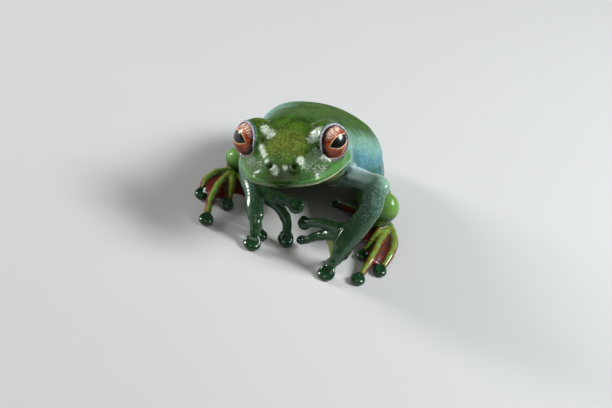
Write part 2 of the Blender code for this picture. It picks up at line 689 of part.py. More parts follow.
def main():
    """Clears the scene and makes the frog."""
    for old in list(bpy.data.objects):
        bpy.data.objects.remove(old)
    body_cutter = body("body_cutter", SEAM)
    make_body()
    for side in ("left", "right"):
        arm_cutters = make_arm(side, body_cutter)
        make_leg(side, [body_cutter, *arm_cutters])
        remove(arm_cutters)
    remove([body_cutter])
    place_all()


main()
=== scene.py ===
"""Jade tree frog, life size: one continuous wet skin, two eyes, and the fine granules of the face.

The shapes are worked out in millimetres, in the pose that the solids have, and moved to the frame at
the end. The frog faces -Y, its own left side is +X, and the floor is at Z = 0.
"""

import math
from types import SimpleNamespace

import bpy
import numpy as np
from mathutils import Matrix, Vector
from mathutils.bvhtree import BVHTree


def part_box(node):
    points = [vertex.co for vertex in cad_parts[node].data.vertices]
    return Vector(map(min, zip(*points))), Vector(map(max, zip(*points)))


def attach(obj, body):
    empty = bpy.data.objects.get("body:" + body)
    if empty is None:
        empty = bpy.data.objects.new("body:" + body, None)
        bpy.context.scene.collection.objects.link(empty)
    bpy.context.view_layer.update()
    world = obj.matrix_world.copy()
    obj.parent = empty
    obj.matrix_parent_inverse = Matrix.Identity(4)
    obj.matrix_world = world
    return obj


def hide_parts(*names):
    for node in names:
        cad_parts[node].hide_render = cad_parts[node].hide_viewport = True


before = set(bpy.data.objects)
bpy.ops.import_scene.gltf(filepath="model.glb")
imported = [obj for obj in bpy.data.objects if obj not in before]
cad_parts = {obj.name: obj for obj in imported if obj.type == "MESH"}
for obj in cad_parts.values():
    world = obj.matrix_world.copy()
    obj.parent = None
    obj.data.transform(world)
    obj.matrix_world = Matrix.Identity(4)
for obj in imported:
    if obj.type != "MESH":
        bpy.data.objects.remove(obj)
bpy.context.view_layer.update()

MM = 0.001
VOXEL = 0.17              # size of the skin's own mesh
MOST_TRIANGLES = 196000

# Stations of the body: distance behind the snout tip, yaw, pitch, roll, half width, height above and
# depth below the lip level, narrowing of the upper half, squareness
BODY = np.array([
    (0.0, 14, 6, 20, 4.4, 3.3, 0.7, 0.28, 2.3),
    (3.0, 14, 6, 20, 6.0, 4.7, 1.1, 0.31, 2.3),
    (6.0, 14, 6, 20, 7.3, 6.1, 1.7, 0.30, 2.3),
    (9.5, 14, 6, 20, 8.3, 7.2, 2.5, 0.24, 2.3),
    (13.0, 12, 7, 19, 8.8, 7.6, 3.7, 0.16, 2.3),
    (16.5, 9, 9, 17, 8.9, 7.1, 4.6, 0.10, 2.2),
    (20.0, 6, 11, 13, 8.9, 6.5, 5.3, 0.08, 2.15),
    (24.0, 3, 12.5, 8, 9.6, 6.0, 6.0, 0.07, 2.1),
    (29.0, -1, 13.5, 4, 10.4, 5.5, 6.2, 0.07, 2.1),
    (34.0, -3.5, 13.5, 2, 10.5, 4.7, 5.6, 0.05, 2.1),
    (39.0, -6.5, 14, 1, 8.2, 4.1, 4.6, 0.0, 2.1),
    (44.0, -9, 14.5, 1, 4.9, 2.7, 3.3, 0.0, 2.1),
    (48.0, -9, 15, 1, 2.9, 1.9, 2.2, 0.0, 2.1),
])
BODY_LENGTH = 48.0
SNOUT_ROUND, VENT_ROUND = 3.0, 3.5
EYE_STATION = 9.8
EYE_MIDDLE = Vector((0.1, -15.0, 18.0))

# Head details, from the middle of the eyes, in the head's own forward, left and up
EYE_SIDE = 6.4
EYE_RADIUS, CORNEA_RISE, SOCKET_GAP = 2.95, 0.10, 0.07
EYE_TURN, EYE_LIFT = 47.0, 15.0
PUPIL_HALF, PUPIL_HIGH, PUPIL_RISE = 1.85, 0.92, {1: 0.0, -1: 0.3}
LIP_DROP, LIP_SLOPE = 4.7, 4.0
JAW_CORNER = -5.6
LID_RING_RADIUS, LID_RING_THICKNESS, LID_RING_OUT = 2.77, 0.29, 1.18
BROW_RADIUS, BROW_INWARD = 3.6, 1.0
NOSTRIL = (8.2, 1.95, -1.35)
RIDGE_START, RIDGE_END = (2.8, 4.6, 0.35), (7.5, 2.55, -0.85)
HOLLOW_START, HOLLOW_END = (3.0, 6.5, -1.1), (6.9, 4.3, -1.9)

# The eardrum's forward and up, and the forwards and ups of the fold over it
EARDRUM = (-5.4, -1.9)
EAR_FOLD = (-11, -8.5, -6.5, -4.5, -3), (-3.6, -1.4, 0.0, 0.55, 0.5)

# Patches of the face: each a stretch between two points of the head, with its radius. The pale patches are
# partly the skin's own pale colour and partly painted highlights.
PALE_PATCHES = (((1.1, -3.8, 2.2), (1.9, -2.8, 1.6), 1.1), ((1.6, 4.9, 2.4), (2.3, 3.9, 1.3), 1.0),
                ((3.8, -4.2, 0.3), (6.4, -3.1, -0.4), 0.6), ((7.4, -2.55, -0.85), (7.6, -2.5, -0.9), 0.55),
                ((8.6, -1.3, -1.7), (8.7, -1.0, -2.1), 0.8), ((6.8, 2.9, -0.4), (7.4, 2.6, -0.8), 0.6),
                ((8.5, 0.5, -1.3), (8.6, 0.6, -1.5), 0.5))
CHEEK_PATCHES = (((6.6, 4.3, -2.3), (4.3, 6.1, -3.1), 1.0), ((6.4, -3.9, -2.1), (3.6, -5.8, -2.7), 1.15))
# Painted shade: the dark patches in front of the eyes and below the left nostril.
SHADE_PATCHES = (((3.4, 5.2, -0.9), (5.2, 3.9, -0.4), 1.6), ((3.4, -5.0, -0.9), (4.2, -4.6, -0.9), 0.8),
                ((8.3, 2.6, -2.2), (8.6, 1.9, -2.3), 0.6))

# Limbs: rows of x, y, z, half width and half thickness, and the rows of their elbows and wrists
ARMS = {
    "left": [
        (6.1, -3.8, 10.7, 1.9, 1.9), (10.1, -6.5, 12.6, 1.8, 1.8), (12.8, -8.0, 14.0, 1.75, 1.75),
        (15.5, -10.0, 15.5, 1.75, 1.75), (15.5, -11.0, 13.9, 1.95, 1.9), (16.1, -12.1, 12.4, 1.85, 1.75),
        (16.0, -13.1, 10.8, 1.8, 1.55), (15.5, -14.3, 8.7, 1.9, 1.35), (15.0, -15.4, 6.9, 1.75, 1.1),
        (14.7, -16.3, 5.3, 1.5, 0.95),
    ],
    "right": [
        (-4.4, 0.0, 8.6, 1.9, 1.9), (-6.9, -3.4, 8.4, 1.7, 1.7), (-8.2, -6.2, 7.5, 1.5, 1.5),
        (-7.6, -8.6, 6.8, 1.45, 1.45), (-6.3, -10.6, 6.3, 1.5, 1.5), (-4.7, -12.9, 6.1, 1.5, 1.45),
        (-2.9, -15.0, 5.7, 1.4, 1.3), (-1.4, -17.0, 5.0, 1.5, 1.15), (-0.1, -18.5, 4.2, 1.35, 1.0),
    ],
}
SHOULDERS = {
    "left": [(4.4, -2.2, 9.9, 3.3, 3.3), (6.6, -4.0, 10.9, 2.7, 2.6), (8.6, -5.4, 11.8, 2.1, 2.0)],
    "right": [(-3.4, 1.6, 8.8, 3.2, 3.1), (-5.0, -0.9, 8.7, 2.5, 2.5), (-6.4, -2.8, 8.4, 1.9, 1.9)],
}
ELBOW_ROW = 3.0
WRIST_ROW = {"left": 6.4, "right": 6.2}

# Digits: points that end at the middle of the disc, then the disc's half width
FINGERS = {
    "left": {
        "1": ([(15.3, -13.9, 8.6), (13.2, -14.4, 7.5), (9.7, -14.2, 6.4), (6.9, -14.0, 4.7)], 1.2),
        "2": ([(15.3, -14.5, 7.8), (13.6, -14.7, 6.5), (10.2, -14.3, 4.1), (7.8, -14.0, 1.6)], 1.3),
        "3": ([(15.0, -15.9, 6.0), (14.7, -16.8, 4.1), (14.5, -17.5, 2.0), (14.4, -18.4, 0.7)], 1.5),
        "4": ([(15.4, -14.9, 6.2), (15.2, -14.2, 3.8), (14.6, -13.9, 1.8), (13.9, -14.2, 0.7)], 1.3),
    },
    "right": {
        "1": ([(-3.2, -14.2, 6.0), (-0.3, -14.0, 6.7), (2.3, -14.1, 6.9), (4.6, -14.1, 6.9)], 1.3),
        "2": ([(-2.6, -14.8, 5.5), (1.2, -14.5, 5.6), (4.0, -14.2, 3.4), (5.1, -15.2, 0.85)], 1.45),
        "3": ([(-0.4, -18.3, 4.4), (0.6, -19.3, 3.0), (1.2, -20.0, 1.6), (1.5, -20.9, 0.7)], 1.5),
        "4": ([(-0.6, -17.6, 4.0), (0.2, -17.4, 2.4), (0.7, -17.3, 1.2), (1.3, -17.2, 0.7)], 1.3),
    },
}
FACING_UP = Vector((0, 0, 1))
FACING_FRONT = Vector((0.3, -0.8, 0.5)).normalized()
RAISED_FINGERS = {("left", "1"), ("right", "1")}     # their flat sides face the front

THIGHS = {
    "left": [
        (4.5, 14.5, 6.6, 2.6, 2.6), (7.5, 10.0, 6.4, 3.0, 3.0), (10.6, 3.5, 6.6, 2.8, 2.8),
        (13.3, -1.4, 7.3, 2.5, 2.6), (16.3, -4.4, 8.8, 2.6, 2.65),
    ],
    "right": [
        (-2.0, 14.5, 6.8, 2.6, 2.6), (-5.8, 10.0, 6.9, 2.9, 2.9), (-9.2, 3.4, 6.4, 2.6, 2.6),
        (-9.4, -2.3, 5.3, 2.2, 2.1), (-10.4, -5.4, 4.6, 2.2, 1.9),
    ],
}
SHANKS = {
    "left": [
        (15.4, -3.1, 6.1, 1.9, 1.9), (14.8, 1.2, 4.2, 2.1, 2.0), (13.0, 6.5, 3.5, 2.1, 1.9),
        (9.7, 12.5, 3.1, 1.6, 1.5),
    ],
    "right": [
        (-10.9, -4.2, 3.2, 1.6, 1.6), (-10.9, 0.4, 3.0, 1.8, 1.8), (-10.3, 6.0, 3.0, 1.9, 1.8),
        (-8.2, 12.0, 3.0, 1.6, 1.5),
    ],
}
FEET = {
    "left": [
        (7.6, 13.2, 1.75, 1.7, 1.6), (8.9, 9.0, 1.5, 1.4, 1.3), (11.6, 4.6, 1.8, 1.5, 1.2),
        (15.6, 0.8, 2.8, 2.1, 1.0), (16.8, -1.2, 3.1, 2.3, 0.9),
    ],
    "right": [
        (-5.8, 12.8, 1.65, 1.7, 1.6), (-6.8, 7.4, 1.4, 1.4, 1.25), (-8.4, 1.6, 1.4, 1.5, 1.1),
        (-10.1, -3.6, 1.6, 1.9, 0.85), (-10.3, -6.4, 2.0, 2.0, 0.8),
    ],
}
TOES = {
    "left": {
        "1": ([(14.6, 1.6, 2.3), (12.3, 1.6, 2.3), (9.4, 2.3, 1.6), (6.7, 3.3, 0.6)], 0.95),
        "2": ([(16.0, -0.2, 2.8), (14.9, -2.4, 2.6), (14.0, -4.2, 1.7), (13.2, -5.7, 0.6)], 1.05),
        "3": ([(16.6, -0.6, 3.1), (16.7, -3.6, 3.0), (16.8, -6.0, 1.9), (16.7, -8.0, 0.6)], 1.15),
        "4": ([(17.4, -0.8, 3.2), (18.0, -5.6, 2.8), (18.7, -10.4, 1.7), (19.0, -15.3, 0.6)], 1.3),
        "5": ([(18.2, -0.4, 3.1), (19.9, -2.9, 2.6), (20.7, -6.6, 1.7), (20.8, -9.8, 0.6)], 1.2),
    },
    "right": {
        "1": ([(-9.5, -5.2, 1.7), (-7.7, -5.1, 1.6), (-6.0, -5.0, 1.1), (-4.4, -5.1, 0.6)], 0.95),
        "2": ([(-9.4, -6.4, 1.9), (-7.7, -7.6, 1.9), (-5.9, -8.5, 1.3), (-4.0, -9.2, 0.6)], 1.05),
        "3": ([(-9.9, -7.0, 2.1), (-8.7, -9.8, 2.4), (-7.6, -12.1, 1.5), (-6.9, -13.9, 0.6)], 1.15),
        "4": ([(-10.3, -7.2, 2.2), (-10.0, -11.4, 2.5), (-9.1, -16.4, 1.9), (-7.3, -20.9, 0.6)], 1.3),
        "5": ([(-11.2, -6.6, 2.1), (-12.1, -9.6, 2.4), (-12.4, -12.3, 1.8), (-11.6, -14.6, 0.6)], 1.15),
    },
}
FINGER_RADIUS, TOE_RADIUS, DISC_HALF_THICKNESS = 0.88, 0.67, 0.6

# Middle and half width of every disc, and the rings of one, from its middle in half widths
DISCS = [(np.array(path[-1]), disc) for digits in (*FINGERS.values(), *TOES.values())
         for path, disc in digits.values()]
DISC_STOPS = np.array([-1.2, -1.05, -0.9, -0.72, -0.54, -0.36, -0.18, 0, 0.2, 0.4, 0.58, 0.74, 0.86, 0.94,
                       0.985])

# Webs: for each pair of digits, where the web starts and ends on the first and on the second
WEB_THICKNESS = 0.42
TOE_WEBS = {
    "12": (0.10, 0.82, 0.10, 0.62),
    "23": (0.10, 0.90, 0.10, 0.72),
    "34": (0.08, 0.95, 0.06, 0.72),
    "45": (0.06, 0.78, 0.08, 0.95),
}
FINGER_WEBS = {
    "left": {
        "12": (0.10, 0.58, 0.10, 0.52),
        "23": (0.20, 0.62, 0.10, 0.76),
        "34": (0.10, 0.70, 0.10, 0.66),
    },
    "right": {
        "12": (0.15, 0.45, 0.15, 0.42),
        "34": (0.05, 0.60, 0.05, 0.60),
    },
}
WEB_HOLLOW = 0.10

# In how many steps a form's finish is blended into the next one's
BLEND = 5
WIDE_BLENDS = {
    "foot_web": 12,
    **dict.fromkeys(("arm_left", "arm_right", "shoulder", "thigh", "shank", "foot"), 40),
}
SKIN_MASKS = (
    "back", "flank", "neck", "blue", "belly", "brow", "disc", "hollow", "crease", "up",
    "snout", "tip", "nostril", "gold", "lip", "cream", "pale", "cheek", "dark", "chin",
    "lid", "lid_edge", "lid_low", "arm", "elbow", "arm_top", "hand", "hand_web",
    "leg", "knee", "thigh", "toe", "web",
)

# Camera: one point of the frog and its place and scale in the picture
CAMERA_AZIMUTH, CAMERA_ELEVATION, CAMERA_ROLL = 15.0, 30.0, 20.0
CAMERA_LENS, SENSOR = 120.0, 36.0
PICTURE = (612, 408)
AIM_POINT, AIM_PIXEL, PIXELS_PER_MM = Vector((0.0, -15.0, 18.0)), (289.7, 140.0), 6.15


def hermite(xs, ys, x):
    """A smooth curve through the rows ys at xs."""
    slopes = np.gradient(ys, xs, axis=0)
    i = int(np.clip(np.searchsorted(xs, x) - 1, 0, len(xs) - 2))
    h = xs[i + 1] - xs[i]
    t = (x - xs[i]) / h
    return ((2 * t**3 - 3 * t**2 + 1) * ys[i] + (t**3 - 2 * t**2 + t) * h * slopes[i]
            + (3 * t**2 - 2 * t**3) * ys[i + 1] + (t**3 - t**2) * h * slopes[i + 1])


def directions(yaw, pitch, roll):
    """Forward, left and up of a part that faces -Y when all three angles are zero."""
    yaw, pitch, roll = (math.radians(a) for a in (yaw, pitch, roll))
    forward = Vector((math.sin(yaw) * math.cos(pitch), -math.cos(yaw) * math.cos(pitch), math.sin(pitch)))
    level = Vector((math.cos(yaw), math.sin(yaw), 0))
    left = level * math.cos(roll) + forward.cross(level) * math.sin(roll)
    return forward, left, forward.cross(left)


def body_values(s):
    """Yaw to squareness at a station."""
    return hermite(BODY[:, 0], BODY[:, 1:], s)


def body_directions(s):
    """Forward, left and up of the body at a station."""
    return directions(*body_values(s)[:3])


HEAD_FORWARD, HEAD_LEFT, HEAD_UP = body_directions(EYE_STATION)


def in_head(forward, left, up):
    """A point from its place in the head."""
    return EYE_MIDDLE + HEAD_FORWARD * forward + HEAD_LEFT * left + HEAD_UP * up


def walk_axis():
    """The body's axis, walked in short steps both ways from under the eyes."""
    step = 0.25
    stations = np.arange(-1.0, BODY_LENGTH + 1.0, step)
    forward = np.array([body_directions(s)[0] for s in stations])
    walk = -np.cumsum(forward, axis=0) * step
    start = [np.interp(EYE_STATION, stations, walk[:, i]) for i in range(3)]
    return stations, walk - start + np.array(in_head(0, 0, -LIP_DROP))


AXIS_STATIONS, AXIS = walk_axis()


def on_axis(s):
    """The axis of the body at one station or at several."""
    return np.stack([np.interp(s, AXIS_STATIONS, AXIS[:, i]) for i in range(3)], axis=-1)


def circle(sides):
    """Cosines and sines of equal steps round a circle."""
    angle = np.linspace(0, 2 * math.pi, sides, endpoint=False)
    return np.cos(angle), np.sin(angle)


def soft(x, start, end):
    """A smooth step from 0 at start to 1 at end. Start may be the larger."""
    t = np.clip((x - start) / (end - start), 0, 1)
    return t * t * (3 - 2 * t)


def hill(x, middle, width):
    """1 at the middle, falling off smoothly over the width on each side."""
    return np.exp(-((x - middle) / width) ** 2)


def eye_axis(side):
    """The way an eye faces. Side is 1 for the left eye and -1 for the right."""
    turn, lift = math.radians(EYE_TURN), math.radians(EYE_LIFT)
    outward = HEAD_FORWARD * math.cos(turn) + HEAD_LEFT * side * math.sin(turn)
    return (outward * math.cos(lift) + HEAD_UP * math.sin(lift)).normalized()


def eye_middle(side):
    """The middle of the left or the right eye."""
    return in_head(0, EYE_SIDE * side, 0)


def distance(points, place):
    """Distance of each point from one place."""
    return np.linalg.norm(points - np.array(place), axis=1)


class Shapes:
    """Closed shapes gathered into one mesh, each face with the number of its group."""

    def __init__(self):
        self.points, self.faces, self.groups, self.names = [], [], [], []

    def add(self, group, points, faces):
        if group not in self.names:
            self.names.append(group)
        start = len(self.points)
        self.points += [tuple(p) for p in points]
        self.faces += [tuple(start + i for i in face) for face in faces]
        self.groups += [self.names.index(group)] * len(faces)

    def loft(self, group, rings):
        """A closed skin through rings of equal count, each end fanned to its middle."""
        n = len(rings[0])
        points = [p for ring in rings for p in ring]
        faces = []
        for r in range(len(rings) - 1):
            for k in range(n):
                a, b = r * n + k, r * n + (k + 1) % n
                faces.append((a, b, b + n, a + n))
        for ring, row in ((0, 0), (len(rings) - 1, (len(rings) - 1) * n)):
            points.append(np.mean([np.array(p) for p in rings[ring]], axis=0))
            middle = len(points) - 1
            faces += [(row + k, middle, row + (k + 1) % n) for k in range(n)]
        self.add(group, points, faces)


def body_ring(s, sides=96):
    """A ring of points round the body at a station."""
    _, _, _, half, above, below, narrow, power = body_values(s)
    _, left, up = body_directions(s)
    end = 1.0
    for to_end, rounding in ((s, SNOUT_ROUND), (BODY_LENGTH - s, VENT_ROUND)):
        if to_end < rounding:
            end = math.sqrt(max(0.0, 1 - (1 - to_end / rounding) ** 2))
    across, high = (np.sign(part) * np.abs(part) ** (2 / power) for part in circle(sides))
    across = half * across * (1 - narrow * np.maximum(0, high) ** 1.5) * end
    height = np.where(high > 0, above, below) * high * end
    return on_axis(s) + across[:, None] * np.array(left) + height[:, None] * np.array(up)


def ball_rings(centre, along, tilts, radii, sides):
    """Rings of a ball with its poles on an axis, each ring with its tilt from the axis and its radius."""
    turn = np.array(along.to_track_quat("Z", "Y").to_matrix())
    across, high = circle(sides)
    rings = []
    for tilt, radius in zip(tilts, radii):
        out = np.stack([across * math.sin(tilt), high * math.sin(tilt), np.full(sides, math.cos(tilt))])
        rings.append(np.array(centre) + radius * (turn @ out).T)
    return rings


def add_ring_tube(shapes, group, centre, along, radius, thickness, columns=72, rows=16):
    """A round tube bent to a circle about an axis."""
    turn = np.array(along.to_track_quat("Z", "Y").to_matrix())
    points, faces = [], []
    for i in range(columns):
        a = 2 * math.pi * i / columns
        for j in range(rows):
            b = 2 * math.pi * j / rows
            out = radius + thickness * math.cos(b)
            place = np.array((math.cos(a) * out, math.sin(a) * out, thickness * math.sin(b)))
            points.append(np.array(centre) + turn @ place)
            c, d = (i + 1) % columns, (j + 1) % rows
            faces.append((i * rows + j, i * rows + d, c * rows + d, c * rows + j))
    shapes.add(group, points, faces)


def oval_ring(centre, tangent, normal, wide, thick, sides):
    """A ring of points across a path, kept above the floor."""
    side = tangent.cross(normal).normalized()
    up = side.cross(tangent)
    across, high = circle(sides)
    ring = centre + wide * across[:, None] * np.array(side)
    ring = ring + thick * high[:, None] * np.array(up)
    ring[:, 2] = np.maximum(ring[:, 2], 0)
    return ring


def limb_rings(rows, normal=FACING_UP, step=0.08, sides=32):
    """Rings along a limb's rows, with both ends rounded."""
    rows = np.array(rows, float)
    numbers = np.arange(len(rows))
    stops = [(t, 1.0, 0.0) for t in np.arange(0, len(rows) - 1 + step / 2, step)]
    cap = [(math.cos(math.radians(a)), math.sin(math.radians(a))) for a in (20, 40, 58, 74, 86)]
    stops = [(0.0, scale, -reach) for scale, reach in reversed(cap)] + stops
    stops += [(len(rows) - 1.0, scale, reach) for scale, reach in cap]
    rings = []
    for t, scale, reach in stops:
        x, y, z, wide, thick = hermite(numbers, rows, t)
        ahead, behind = hermite(numbers, rows, t + 0.02), hermite(numbers, rows, t - 0.02)
        tangent = Vector(ahead[:3] - behind[:3]).normalized()
        centre = np.array((x, y, z)) + np.array(tangent) * reach * min(wide, thick)
        rings.append(oval_ring(centre, tangent, normal, scale * wide, scale * thick, sides))
    return rings


def path_lengths(path):
    """A path's points, with how far along it each one lies."""
    path = np.array(path, float)
    return path, np.concatenate([[0], np.cumsum(np.linalg.norm(np.diff(path, axis=0), axis=1))])


def digit_rings(path, disc, radius, normal, sides=28):
    """Rings of a finger or toe: a stem that swells a little at its joints and widens to a flat disc."""
    path, lengths = path_lengths(path)
    heading = path[-1] - path[-2]
    heading[2] *= 0.2
    heading /= np.linalg.norm(heading)
    total = lengths[-1]
    rows = []
    for s in [*np.arange(0, total - 1.3 * disc, 0.22), *(total + disc * DISC_STOPS)]:
        centre = hermite(lengths, path, s) if s <= total else path[-1] + heading * (s - total)
        along = min(1.0, s / total)
        joints = 0.10 * hill(along, 0.30, 0.07) + 0.12 * hill(along, 0.62, 0.06)
        stem = radius * (1.12 - 0.27 * along + joints)
        swell = disc * math.sqrt(max(0.0, 1 - ((s - total) / disc) ** 2))
        wide = max(stem, swell) if s < total else swell
        flat = min(1.0, max(0.0, (s - total) / (1.6 * disc) + 1.0))
        thick = stem + (DISC_HALF_THICKNESS - stem) * flat
        if s > total:
            thick *= math.sqrt(max(0.0, 1 - ((s - total) / disc) ** 4))
        rows.append((*centre, wide, thick))
    rows = np.array(rows)
    rings = []
    for i, (x, y, z, wide, thick) in enumerate(rows):
        before, after = rows[max(i - 1, 0), :3], rows[min(i + 1, len(rows) - 1), :3]
        tangent = Vector(after - before).normalized()
        rings.append(oval_ring(np.array((x, y, z)), tangent, normal, wide, thick, sides))
    return rings


def add_web(shapes, group, path_a, path_b, reaches):
    """A thin panel between two digits, with a hollowed free edge."""
    paths = []
    for path in (path_a, path_b):
        path, lengths = path_lengths(path)
        paths.append((path, lengths / lengths[-1]))
    along, across = 20, 12
    grid = np.zeros((along + 1, across + 1, 3))
    for i in range(along + 1):
        for j in range(across + 1):
            v = j / across
            edge = WEB_HOLLOW * 4 * v * (1 - v)
            ends = []
            for (path, lengths), start, end in zip(paths, reaches[::2], reaches[1::2]):
                ends.append(hermite(lengths, path, start + (end - edge - start) * i / along))
            grid[i, j] = ends[0] + (ends[1] - ends[0]) * v
    normals = np.cross(np.gradient(grid, axis=0), np.gradient(grid, axis=1))
    normals /= np.linalg.norm(normals, axis=2)[..., None]
    if normals[..., 2].mean() < 0:
        normals = -normals
    layers = []
    for side in (-0.5, 0.5):
        layer = grid + normals * WEB_THICKNESS * side
        layer[..., 2] = np.maximum(layer[..., 2], 0.05 + WEB_THICKNESS * (side + 0.5))
        layers.append(layer)
    wide, count = across + 1, (along + 1) * (across + 1)
    faces = []
    for start in (0, count):
        for i in range(along):
            for j in range(across):
                a = start + i * wide + j
                faces.append((a, a + 1, a + wide + 1, a + wide))
    rim = [i * wide for i in range(along)] + [along * wide + j for j in range(across)]
    rim += [i * wide + across for i in range(along, 0, -1)] + list(range(across, 0, -1))
    faces += [(a, b, b + count, a + count) for a, b in zip(rim, rim[1:] + rim[:1])]
    shapes.add(group, np.concatenate([layer.reshape(-1, 3) for layer in layers]), faces)


def gather_shapes():
    """Every fleshy form of the frog, overlapping, ready to be fused."""
    shapes = Shapes()
    stations = [0.03, 0.15, 0.4, 0.8, 1.3, *np.arange(1.8, BODY_LENGTH - 1.8, 0.5)]
    stations += [BODY_LENGTH - s for s in (1.4, 1.0, 0.6, 0.3, 0.12, 0.02)]
    shapes.loft("body", [body_ring(s) for s in stations])
    tilts = np.linspace(0.02, math.pi - 0.02, 24)
    for side in (1, -1):
        centre, axis = eye_middle(side), eye_axis(side)
        rings = ball_rings(centre - axis * BROW_INWARD, axis, tilts, [BROW_RADIUS] * len(tilts), sides=40)
        shapes.loft("brow", rings)
        add_ring_tube(shapes, "lid", centre + axis * LID_RING_OUT, axis,
                      LID_RING_RADIUS, LID_RING_THICKNESS)
    for side in ("left", "right"):
        shapes.loft("arm_" + side, limb_rings(ARMS[side], FACING_FRONT))
        shapes.loft("shoulder", limb_rings(SHOULDERS[side], FACING_FRONT))
        for number, (path, disc) in FINGERS[side].items():
            facing = FACING_FRONT if (side, number) in RAISED_FINGERS else FACING_UP
            shapes.loft("finger", digit_rings(path, disc, FINGER_RADIUS, facing))
        for pair, reaches in FINGER_WEBS[side].items():
            add_web(shapes, "hand_web", *(FINGERS[side][number][0] for number in pair), reaches)
        shapes.loft("thigh", limb_rings(THIGHS[side]))
        shapes.loft("shank", limb_rings(SHANKS[side]))
        shapes.loft("foot", limb_rings(FEET[side]))
        for number, (path, disc) in TOES[side].items():
            shapes.loft("toe", digit_rings(path, disc, TOE_RADIUS, FACING_UP))
        for pair, reaches in TOE_WEBS.items():
            add_web(shapes, "foot_web", *(TOES[side][number][0] for number in pair), reaches)
    return shapes


def new_object(name, points, faces):
    """A mesh object at the origin."""
    mesh = bpy.data.meshes.new(name)
    mesh.from_pydata([tuple(p) for p in points], [], [tuple(f) for f in faces])
    mesh.update()
    obj = bpy.data.objects.new(name, mesh)
    bpy.context.scene.collection.objects.link(obj)
    return obj


def bake_modifiers(obj):
    """Turns what the modifiers make into the object's plain mesh."""
    bpy.context.view_layer.update()
    graph = bpy.context.evaluated_depsgraph_get()
    mesh = bpy.data.meshes.new_from_object(obj.evaluated_get(graph))
    obj.modifiers.clear()
    obj.data = mesh
    return obj


def fuse(shapes):
    """One closed surface over all the shapes."""
    obj = new_object("fused", shapes.points, shapes.faces)
    modifier = obj.modifiers.new("fuse", "REMESH")
    modifier.mode = "VOXEL"
    modifier.voxel_size = VOXEL
    return bake_modifiers(obj)


class Surface:
    """The fused surface as arrays, with what the shaping needs: neighbours, normals and smoothing."""

    def __init__(self, mesh):
        count = len(mesh.vertices)
        self.points = np.empty(count * 3)
        mesh.vertices.foreach_get("co", self.points)
        self.points = self.points.reshape(-1, 3)
        edges = np.empty(len(mesh.edges) * 2, int)
        mesh.edges.foreach_get("vertices", edges)
        edges = edges.reshape(-1, 2)
        self.a = np.concatenate([edges[:, 0], edges[:, 1]])
        self.b = np.concatenate([edges[:, 1], edges[:, 0]])
        self.degree = np.maximum(np.bincount(self.a, minlength=count), 1)
        mesh.calc_loop_triangles()
        triangles = np.empty(len(mesh.loop_triangles) * 3, int)
        mesh.loop_triangles.foreach_get("vertices", triangles)
        self.triangles = triangles.reshape(-1, 3)
        self.count = count

    def around(self, values):
        """The mean of each point's neighbours."""
        if values.ndim == 1:
            return np.bincount(self.a, values[self.b], self.count) / self.degree
        return np.stack([self.around(values[:, i]) for i in range(values.shape[1])], axis=1)

    def spread(self, values, times):
        """Values blurred over the surface."""
        for _ in range(times):
            values = 0.5 * values + 0.5 * self.around(values)
        return values

    def normals(self):
        """Unit normals at the points."""
        p, t = self.points, self.triangles
        face = np.cross(p[t[:, 1]] - p[t[:, 0]], p[t[:, 2]] - p[t[:, 0]])
        out = np.zeros_like(p)
        for corner in range(3):
            for i in range(3):
                out[:, i] += np.bincount(t[:, corner], face[:, i], self.count)
        return out / np.maximum(np.linalg.norm(out, axis=1), 1e-12)[:, None]

    def smooth(self, times):
        """Evens out the surface without shrinking it."""
        for _ in range(times):
            self.points += 0.5 * (self.around(self.points) - self.points)
            self.points -= 0.52 * (self.around(self.points) - self.points)

    def fill_creases(self, times, where):
        """Rounds the valleys where one form meets another, as skin does."""
        for _ in range(times):
            normals = self.normals()
            step = self.around(self.points) - self.points
            rise = np.maximum(0, np.einsum("ij,ij->i", step, normals)) * where
            self.points += 0.8 * rise[:, None] * normals

    def push(self, amount):
        """Moves each point along its normal."""
        self.points += amount[:, None] * self.normals()


def group_weights(surface, shapes):
    """For each group of shapes, how much each point of the surface belongs to it."""
    tree = BVHTree.FromPolygons(shapes.points, shapes.faces)
    owner = np.array([shapes.groups[tree.find_nearest(Vector(p))[2]] for p in surface.points])
    return {name: (owner == i).astype(float) for i, name in enumerate(shapes.names)}


def near_path(points, rows, count=160):
    """Row number of the nearest place on a limb's path."""
    rows = np.array(rows, float)[:, :3]
    numbers = np.arange(len(rows))
    stops = np.linspace(0, len(rows) - 1, count)
    samples = np.array([hermite(numbers, rows, t) for t in stops])
    gap = np.linalg.norm(points[:, None] - samples[None], axis=2)
    return stops[gap.argmin(axis=1)]


def head_place(points):
    """Forward, left and up of each point in the head."""
    return (points - np.array(EYE_MIDDLE)) @ np.array((HEAD_FORWARD, HEAD_LEFT, HEAD_UP)).T


def one_sided(head):
    """Points of the head with its right side folded over onto its left."""
    return np.stack([head[:, 0], np.abs(head[:, 1]), head[:, 2]], axis=1)


def body_place(points):
    """Each point's station, and its angle round the body in degrees.

    The angle is 90 on the back, 0 at the side and -90 under the belly.
    """
    station = np.zeros(len(points))
    angle = np.zeros(len(points))
    fine = np.arange(0, BODY_LENGTH, 0.5)
    centres = on_axis(fine)
    batch = 20000
    for start in range(0, len(points), batch):
        part = points[start:start + batch]
        gap = ((part[:, None] - centres[None]) ** 2).sum(axis=2)
        station[start:start + batch] = fine[gap.argmin(axis=1)]
    for s, centre in zip(fine, centres):
        here = station == s
        _, _, _, half, above, below, _, _ = body_values(s)
        _, left, up = body_directions(s)
        offset = points[here] - centre
        side, high = offset @ np.array(left), offset @ np.array(up)
        high = np.where(high > 0, high / above, high / below)
        angle[here] = np.degrees(np.arctan2(high, np.abs(side) / half))
    return station, angle


def mouth_height(head):
    """How far each point lies above the lip line."""
    slope = math.radians(LIP_SLOPE)
    return (head[:, 2] + LIP_DROP) * math.cos(slope) - head[:, 0] * math.sin(slope)


